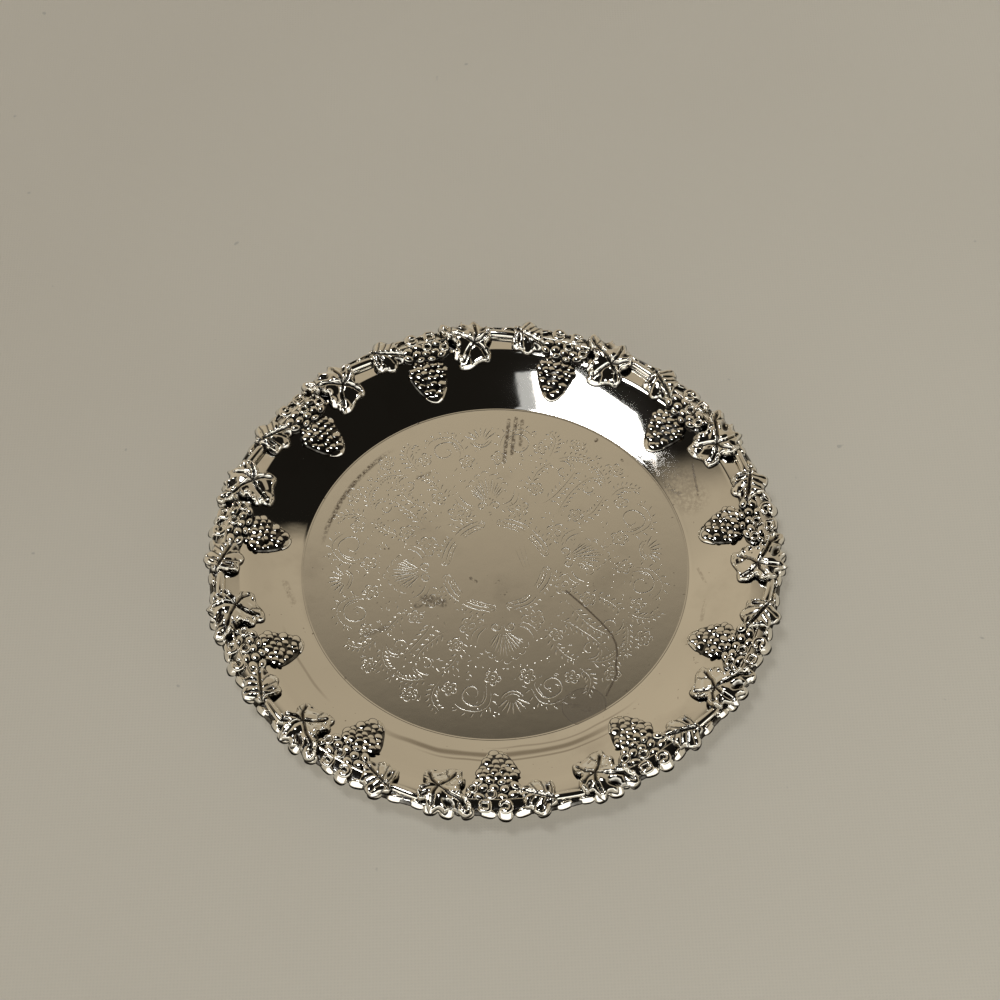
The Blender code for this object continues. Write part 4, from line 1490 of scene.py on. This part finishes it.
# %% Cast a bunch
BERRY_PITCH = 1.95 * MM
BERRY_RADIUS = 1.27 * MM
BERRY_SUNK = 0.05 * MM
BERRY_FLATNESS = 0.26
BERRY_ROUGH = 0.05 * MM
SHIELD_TOP = 71.3
SHIELD_TIP = 59.1
SHIELD_WIDTHS = (
    (0.0, 2.8), (0.06, 3.8), (0.14, 5.2), (0.27, 5.8), (0.44, 5.4), (0.6, 4.6), (0.76, 3.6), (0.88, 2.5),
    (0.96, 1.5),
)
SHIELD_LEAN = 0.5 * MM
SHOULDER_EDGE = (
    (8.0, 72.0), (8.8, 73.6), (7.2, 75.9), (3.0, 76.9), (-2.0, 76.9), (-5.2, 76.2), (-6.0, 74.2),
    (-5.4, 72.2), (-2.6, 71.4), (0.0, 71.8), (3.0, 71.5), (6.0, 71.2),
)
MOUND = 1.1 * MM
MOUND_EDGE = 4.6 * MM
MOUND_POWER = 1.5
SHOULDER_MOUND = 0.5 * MM
WEB_EDGE = 0.35 * MM
COLLAR_PROFILE = (
    (-1.8, 0.1), (-1.75, 0.95), (-1.4, 1.08), (-1.2, 0.98), (-0.6, 0.66), (0.05, 0.3), (0.2, 0.08),
)
COLLAR_SHARES = (0.80, 0.66)
COLLAR_REACH = 1.05 * MM
BUD_SEAT = 1.1 * MM
BUNCH_STEP = 0.45 * MM
COLLAR_STEP = 0.5 * MM
WEB_ROWS = (0.08 * MM, 0.2 * MM, 0.4 * MM, 0.7 * MM)
WEB_GRID = 0.7 * MM
WEB_MARGIN = 0.85 * MM
WEB_FADE = 0.3 * MM
BERRY_SWAY = 0.36
BERRY_SIZES = (0.78, 1.16)
BERRY_LENGTHS = (0.95, 1.15)
BERRY_WIDTHS = (0.9, 1.05)
BERRY_LIFTS = (-0.16, 0.2)
BERRY_LEAN = 8
TENDRILS = ((2.0, 75.3, 1.2, 0.5, 1.45, 0), (6.9, 73.6, 1.1, 0.5, 1.65, 67))
BUDS = (
    (-4.1, 75.3, 1.8, 1.35, 15, 0.8), (-1.0, 76.1, 1.7, 1.15, -10, 0.75), (5.2, 75.8, 1.8, 1.2, -20, 0.8),
    (-4.5, 72.8, 1.8, 1.25, -35, 1.25), (-1.6, 73.7, 1.5, 1.3, 30, 0.8), (1.2, 73.2, 1.5, 1.2, -20, 0.75),
    (4.0, 73.2, 1.5, 1.3, 15, 0.8), (-0.9, 71.6, 1.4, 1.0, 20, 1.0), (2.3, 71.2, 1.5, 1.0, -20, 0.9),
    (5.6, 71.7, 1.7, 1.2, 25, 1.25), (8.0, 75.0, 1.3, 0.9, 60, 0.8),
)


def shield_half(share):
    """Half the shield's width at a share of its length from the top."""
    rows = SHIELD_WIDTHS + ((1.0, 0.0),)
    return float(np.interp(share, [row[0] for row in rows], [row[1] for row in rows])) * MM


def shield_spot(share, side):
    """A point of the shield's edge on one side, 1 for clockwise."""
    lean = SHIELD_LEAN * share * share
    return Vector((side * shield_half(share) + lean, (SHIELD_TOP - (SHIELD_TOP - SHIELD_TIP) * share) * MM))


def shield_outline():
    """A rounded shield with a narrow top, wound anticlockwise."""
    shares = [row[0] for row in SHIELD_WIDTHS]
    right = [shield_spot(share, 1) for share in shares]
    left = [shield_spot(share, -1) for share in shares]
    corners = left + [Vector((SHIELD_LEAN, SHIELD_TIP * MM))] + right[::-1]
    return closed_curve(corners, BUNCH_STEP)


def shoulder_outline():
    """The shoulder's edge, wound anticlockwise."""
    return closed_curve([Vector(point) * MM for point in SHOULDER_EDGE], BUNCH_STEP)


def bowl(vertex):
    """The seat's height under a vertex that is given in the bunch's own frame."""
    return rest_height(math.hypot(vertex.x, vertex.y))


def soft_seat(radius):
    """The seat with its bend at the flange eased, for the faces that show."""
    return sum(rest_height(radius + offset * MM) for offset in (-2.4, -1.2, 0.0, 1.2, 2.4)) / 5


def mound(spots, outline, rise):
    """How far the bunch swells at each spot: two flanks that meet in a soft ridge."""
    share = np.clip(gap_to_edge(spots, outline) / MOUND_EDGE, 0, 1)
    return rise * (1 - (1 - share) ** MOUND_POWER)


def tendril(casting, x, y, radius, thick, lift, start):
    """A small curled tendril: a ring that does not quite close."""
    height = soft_seat(math.hypot(x, y) * MM) + lift * MM
    points, sizes = [], []
    for step in range(15):
        angle = math.radians(start + 310 * step / 14)
        points.append(((x + radius * math.cos(angle)) * MM, (y + radius * math.sin(angle)) * MM, height))
        sizes.append(thick * MM * (0.75 + 0.25 * math.sin(math.pi * step / 14)))
    rod(casting, points, sizes, sides=10, hollow_low=0.8)


def web(casting, outline, rise, tarnish_and_shade):
    """A swelling web inside an outline, with its back on the pan and tarnish and painted shade on its top.
    """
    grid = grid_inside(outline, [], WEB_GRID, WEB_MARGIN, 0)
    spots, triangles, rim = fill(outline, [], rim_rows(outline, WEB_ROWS) + grid)
    seats = np.array([rest_height(math.hypot(x, y)) for x, y in spots])
    soft = np.array([soft_seat(math.hypot(x, y)) for x, y in spots])
    edge = np.minimum(1, gap_to_edge(spots, outline) / WEB_FADE)
    top = np.maximum(soft + WEB_EDGE * edge + mound(spots, outline, rise), seats + 0.1 * MM)
    start = len(casting.points)
    casting.add(np.column_stack((spots, top)), triangles, [tarnish_and_shade] * len(spots))
    back = len(casting.points)
    casting.add(np.column_stack((spots, seats)), [t[::-1] for t in triangles], [1.0] * len(spots))
    close_sides(casting, outline, [start + index for index in rim], rim, back)


def berries(casting, outline, draw):
    """Low berries on the shield's mound, clear of the collar."""
    spots = grid_inside(outline, [], BERRY_PITCH, 0.25 * BERRY_RADIUS, 0)
    swells = mound(table(spots), outline, MOUND)
    to_collar = gap_to(table(spots), [collar_line()])
    for spot, swell, gap in zip(spots, swells, to_collar):
        if gap < COLLAR_REACH:
            continue
        x = spot.x + draw.uniform(-BERRY_SWAY, BERRY_SWAY) * MM
        y = spot.y + draw.uniform(-BERRY_SWAY, BERRY_SWAY) * MM
        radius = BERRY_RADIUS * draw.uniform(*BERRY_SIZES)
        height = soft_seat(math.hypot(x, y)) + WEB_EDGE + swell - BERRY_SUNK
        long, wide = radius * draw.uniform(*BERRY_LENGTHS), radius * draw.uniform(*BERRY_WIDTHS)
        axes = (long, wide, BERRY_FLATNESS * radius)
        height += draw.uniform(*BERRY_LIFTS) * MM
        lean = math.radians(draw.uniform(-BERRY_LEAN, BERRY_LEAN))
        bud(casting, (x, y, height), axes, draw.uniform(0, 2 * math.pi), bowl, BERRY_ROUGH, lean)


def collar_line():
    """The shield's edge round its tip, from one side to the other."""
    first, last = COLLAR_SHARES
    spots = [shield_spot(first + (1 - first) * step / 8, -1) for step in range(8)]
    spots += [shield_spot(1 - (1 - last) * step / 12, 1) for step in range(13)]
    return evenly(spots, COLLAR_STEP)


def collar(casting):
    """A smooth bevelled collar round the shield's tip."""
    line = collar_line()
    sections = []
    for index in range(1, len(line) - 1):
        along = (line[index + 1] - line[index - 1]).normalized()
        outward = Vector((along.y, -along.x))
        size = max(0.1, math.sin(math.pi * index / (len(line) - 1))) ** 0.45
        section = []
        for out, lift in COLLAR_PROFILE:
            spot = line[index] + outward * (0.2 + (out - 0.2) * size) * MM
            section.append((spot.x, spot.y, soft_seat(spot.length) + lift * size * MM))
        sections.append(section)
    # Tarnish and painted shade along the collar's low inner edge and its outer foot.
    swept(casting, sections, [1.0, 0.7] + [0.0] * (len(COLLAR_PROFILE) - 3) + [0.9])


def bunch_casting():
    draw = random.Random(5)
    casting = Casting()
    shield = shield_outline()
    web(casting, shield, MOUND, 0.8)
    web(casting, shoulder_outline(), SHOULDER_MOUND, 0.5)
    berries(casting, shield, draw)
    collar(casting)
    for row in TENDRILS:
        tendril(casting, *row)
    for x, y, length, thick, degrees, high in BUDS:
        centre = (x * MM, y * MM, soft_seat(math.hypot(x, y) * MM) + BUD_SEAT)
        axes = (length * MM, thick * MM, high * MM)
        bud(casting, centre, axes, math.radians(degrees), bowl, 4 * BERRY_ROUGH)
    return casting


bunch_mesh = bunch_casting().mesh("grape_bunch")
print("bunch faces:", len(bunch_mesh.polygons))

# %% [markdown]
# ## The vine
# A strip that falls outwards carries the vine along the rim. Its outer strand is a thin base, darkened with
# tarnish and painted shade, with bevelled lengths over it, each swollen in its middle and laid at its own
# slant, so the rim is a row of separate bright slopes. At the stem a thick rod lies inside it, and past the
# small leaf a knuckle curls on the strip and a small square loop leads to the large leaf. A length is given
# by its turn, radius, half length, size and slant.

# %% Cast a length of vine
SEGMENT_START = LARGE_LEAF_TURN - PITCH
SEGMENT_END = LARGE_LEAF_TURN
SEGMENT_GAP = 0.15 / 80
SEGMENT_STEPS = 140
APRON_SIDES = (76.6, 79.4)
APRON_RISE = 1.05
APRON_FALL = -0.2
STEM_TURNS = (math.radians(-18.3), math.radians(-9.6))
STEM_RADIUS = 77.75
STEM_THICK = 1.3
BANK_RADIUS = 80.3
BANK_PROFILE = (
    (-1.4, -0.7), (-1.35, 0.2), (-1.1, 0.75), (-0.8, 1.0), (-0.45, 1.06), (-0.2, 0.98), (-0.05, 0.84),
    (0.45, 0.26), (0.95, -0.33), (1.15, -0.57), (1.25, -0.75), (1.5, -1.25), (1.3, -1.35), (-0.3, -0.74),
)
BANK_FOOT = -0.7
BANK_BASE = 0.38
LENGTHS = (
    (-19.8, 80.5, 2.2, 1.20, 8), (-16.9, 80.2, 2.2, 0.72, -8), (-12.7, 80.1, 2.4, 0.76, 7),
    (-8.6, 80.5, 2.2, 1.20, 12), (-5.1, 80.0, 2.9, 0.92, 16), (-1.2, 80.6, 2.2, 1.25, -6),
    (2.4, 80.0, 2.8, 0.92, -14), (5.8, 80.5, 2.0, 1.10, 16), (7.9, 79.9, 1.4, 0.85, -22),
    (10.0, 80.7, 2.3, 1.25, -9),
)
KNUCKLE = (math.radians(-1.3), 78.9, 1.45, 0.85, 60, 275, 0.75)
LOOP = (math.radians(2.7), 78.8, 1.3, 0.66, 20, 330, 0.8, 5.0)


def on_border(turn, radius, height):
    """A point in the bunch's frame, from its clockwise turn, radius and height."""
    return (radius * math.sin(turn), radius * math.cos(turn), height)


def off_stem(turn):
    """0 along the bare stem and 1 where leaves and fruit are, with a soft step between."""
    middle, half = sum(STEM_TURNS) / 2, (STEM_TURNS[1] - STEM_TURNS[0]) / 2
    away = min(1.0, max(0.0, (abs(turn - middle) - half) / math.radians(1.2) + 0.5))
    return away * away * (3 - 2 * away)


def banked(casting, stations, tarnish_and_shade=0.0):
    """A bevelled strand through stations, each with its turn, radius and size."""
    sections = []
    for turn, radius, size in stations:
        section = []
        for out, lift in BANK_PROFILE:
            height = STRIP_TOP + (BANK_FOOT + (lift - BANK_FOOT) * size) * MM
            section.append(on_border(turn, (radius + out * size) * MM, height))
        sections.append(section)
    # Tarnish and painted shade on the strand's low inner side and on its outer skirt, where it reads as a
    # dark outline.
    swept(casting, sections, [1.0, 0.7] + [tarnish_and_shade] * (len(BANK_PROFILE) - 6) + [0.9, 1.0, 1.0, 1.0])


def bank(casting, turns):
    """The outer strand: a thin base, and over it slanted lengths that swell in their middles."""
    # The base under the lengths is darkened: tarnish, and painted shade in the gaps between them.
    banked(casting, [(turn, BANK_RADIUS, BANK_BASE) for turn in turns], 0.8)
    for middle, radius, half, size, slant in LENGTHS:
        stations = []
        for step in range(19):
            share = math.cos(math.pi * step / 18)
            along, out = polar((0, 0), -half * share, slant)
            swell = max(0.02, 1 - abs(share) ** 2.6) ** 0.62
            stations.append((math.radians(middle) + along / radius, radius + out, size * swell))
        banked(casting, stations)


def apron(casting, turns):
    """The strip under the vine, which falls outwards except along the stem."""
    sections = []
    low = FLANGE_TOP + CLEARANCE
    inner, outer = APRON_SIDES
    for turn in turns:
        rise, fall = APRON_RISE * off_stem(turn), APRON_FALL * off_stem(turn)
        rows = (
            (inner, rise - 0.25), (inner + 0.15, rise - 0.06), (inner + 0.4, rise),
            (inner + 0.8, 0.86 * rise), (outer - 0.5, fall + 0.1), (outer, fall),
        )
        section = [on_border(turn, radius * MM, STRIP_TOP + lift * MM) for radius, lift in rows]
        sections.append([on_border(turn, inner * MM, low)] + section + [on_border(turn, outer * MM, low)])
    # Tarnish and painted shade on the strip's underside and along its outer slope and edge.
    swept(casting, sections, [1.0, 0.3, 0.0, 0.0, 0.0, 0.5, 1.0, 1.0])


def stem(casting):
    """The thick strand inside the outer one, with its ends let down under the leaves."""
    points, radii = [], []
    for step in range(33):
        share = step / 32
        turn = STEM_TURNS[0] + (STEM_TURNS[1] - STEM_TURNS[0]) * share
        radius = STEM_RADIUS + 0.35 * math.cos(math.pi * share)
        points.append(on_border(turn, radius * MM, STRIP_TOP + (0.1 - 0.9 * abs(2 * share - 1) ** 4) * MM))
        radii.append(STEM_THICK * (1 - 0.2 * abs(2 * share - 1) ** 3) * MM)
    rod(casting, points, radii, sides=18, hollow_low=1.0)


def curl(casting, turn, radius, reach, thick, start, sweep, lift, corners=2.0):
    """A bent rod round a middle; corners over 2 make its round squarer."""
    points, radii = [], []
    for step in range(23):
        share = step / 22
        angle = math.radians(start + sweep * share)
        cosine, sine = math.cos(angle), math.sin(angle)
        size = reach / (abs(cosine) ** corners + abs(sine) ** corners) ** (1 / corners)
        place = (turn + size * cosine / radius, (radius + size * sine) * MM)
        points.append(on_border(*place, STRIP_TOP + lift * MM))
        radii.append(thick * (0.8 + 0.2 * math.sin(math.pi * share)) * MM)
    rod(casting, points, radii, sides=12, hollow_low=1.0)


def vine_casting():
    casting = Casting()
    start, end = SEGMENT_START + SEGMENT_GAP, SEGMENT_END - SEGMENT_GAP
    turns = [start + (end - start) * step / SEGMENT_STEPS for step in range(SEGMENT_STEPS + 1)]
    apron(casting, turns)
    bank(casting, turns)
    stem(casting)
    curl(casting, *KNUCKLE)
    curl(casting, *LOOP)
    return casting


vine_mesh = vine_casting().mesh("vine_segment")
vine_mesh.set_sharp_from_angle(angle=math.radians(50))
print("vine faces:", len(vine_mesh.polygons))

# %% [markdown]
# ## Round the border
# The eleven repeats share four meshes, as the real castings share four moulds. Each piece stands in its
# solid's place and takes over its name's number.

# %% Set the castings round the flange
cast_vine = silver_finish("cast_silver_vine", 0.05, 0.012 * MM, 1.15)
cast_leaf = silver_finish("cast_silver_leaf", 0.05, 0.012 * MM, 1.15)
cast_grape = silver_finish("cast_silver_grape", 0.04, 0.008 * MM, 1.15)
LARGE_LEAF_PLACE = (LARGE_LEAF_RADIUS, LARGE_LEAF_TURN)
SMALL_LEAF_PLACE = (SMALL_LEAF_RADIUS, SMALL_LEAF_TURN)
BORDER = (
    ("vine", "vine_segment", vine_mesh, cast_vine, "vine_silver", (0.0, 0.0)),
    ("bunch", "grape_bunch", bunch_mesh, cast_grape, "grape_silver", (0.0, 0.0)),
    ("leaf_large", "large_leaf", large_leaf_mesh, cast_leaf, "leaf_silver", LARGE_LEAF_PLACE),
    ("leaf_small", "small_leaf", small_leaf_mesh, cast_leaf, "leaf_silver", SMALL_LEAF_PLACE),
)

for number in range(REPEATS):
    tag = f"_{number + 1:02d}"
    for name, node, mesh, finish, slot, (radius, turn) in BORDER:
        set_piece(name + tag, mesh, finish, node + tag, radius, FIRST_BUNCH + number * PITCH - turn)
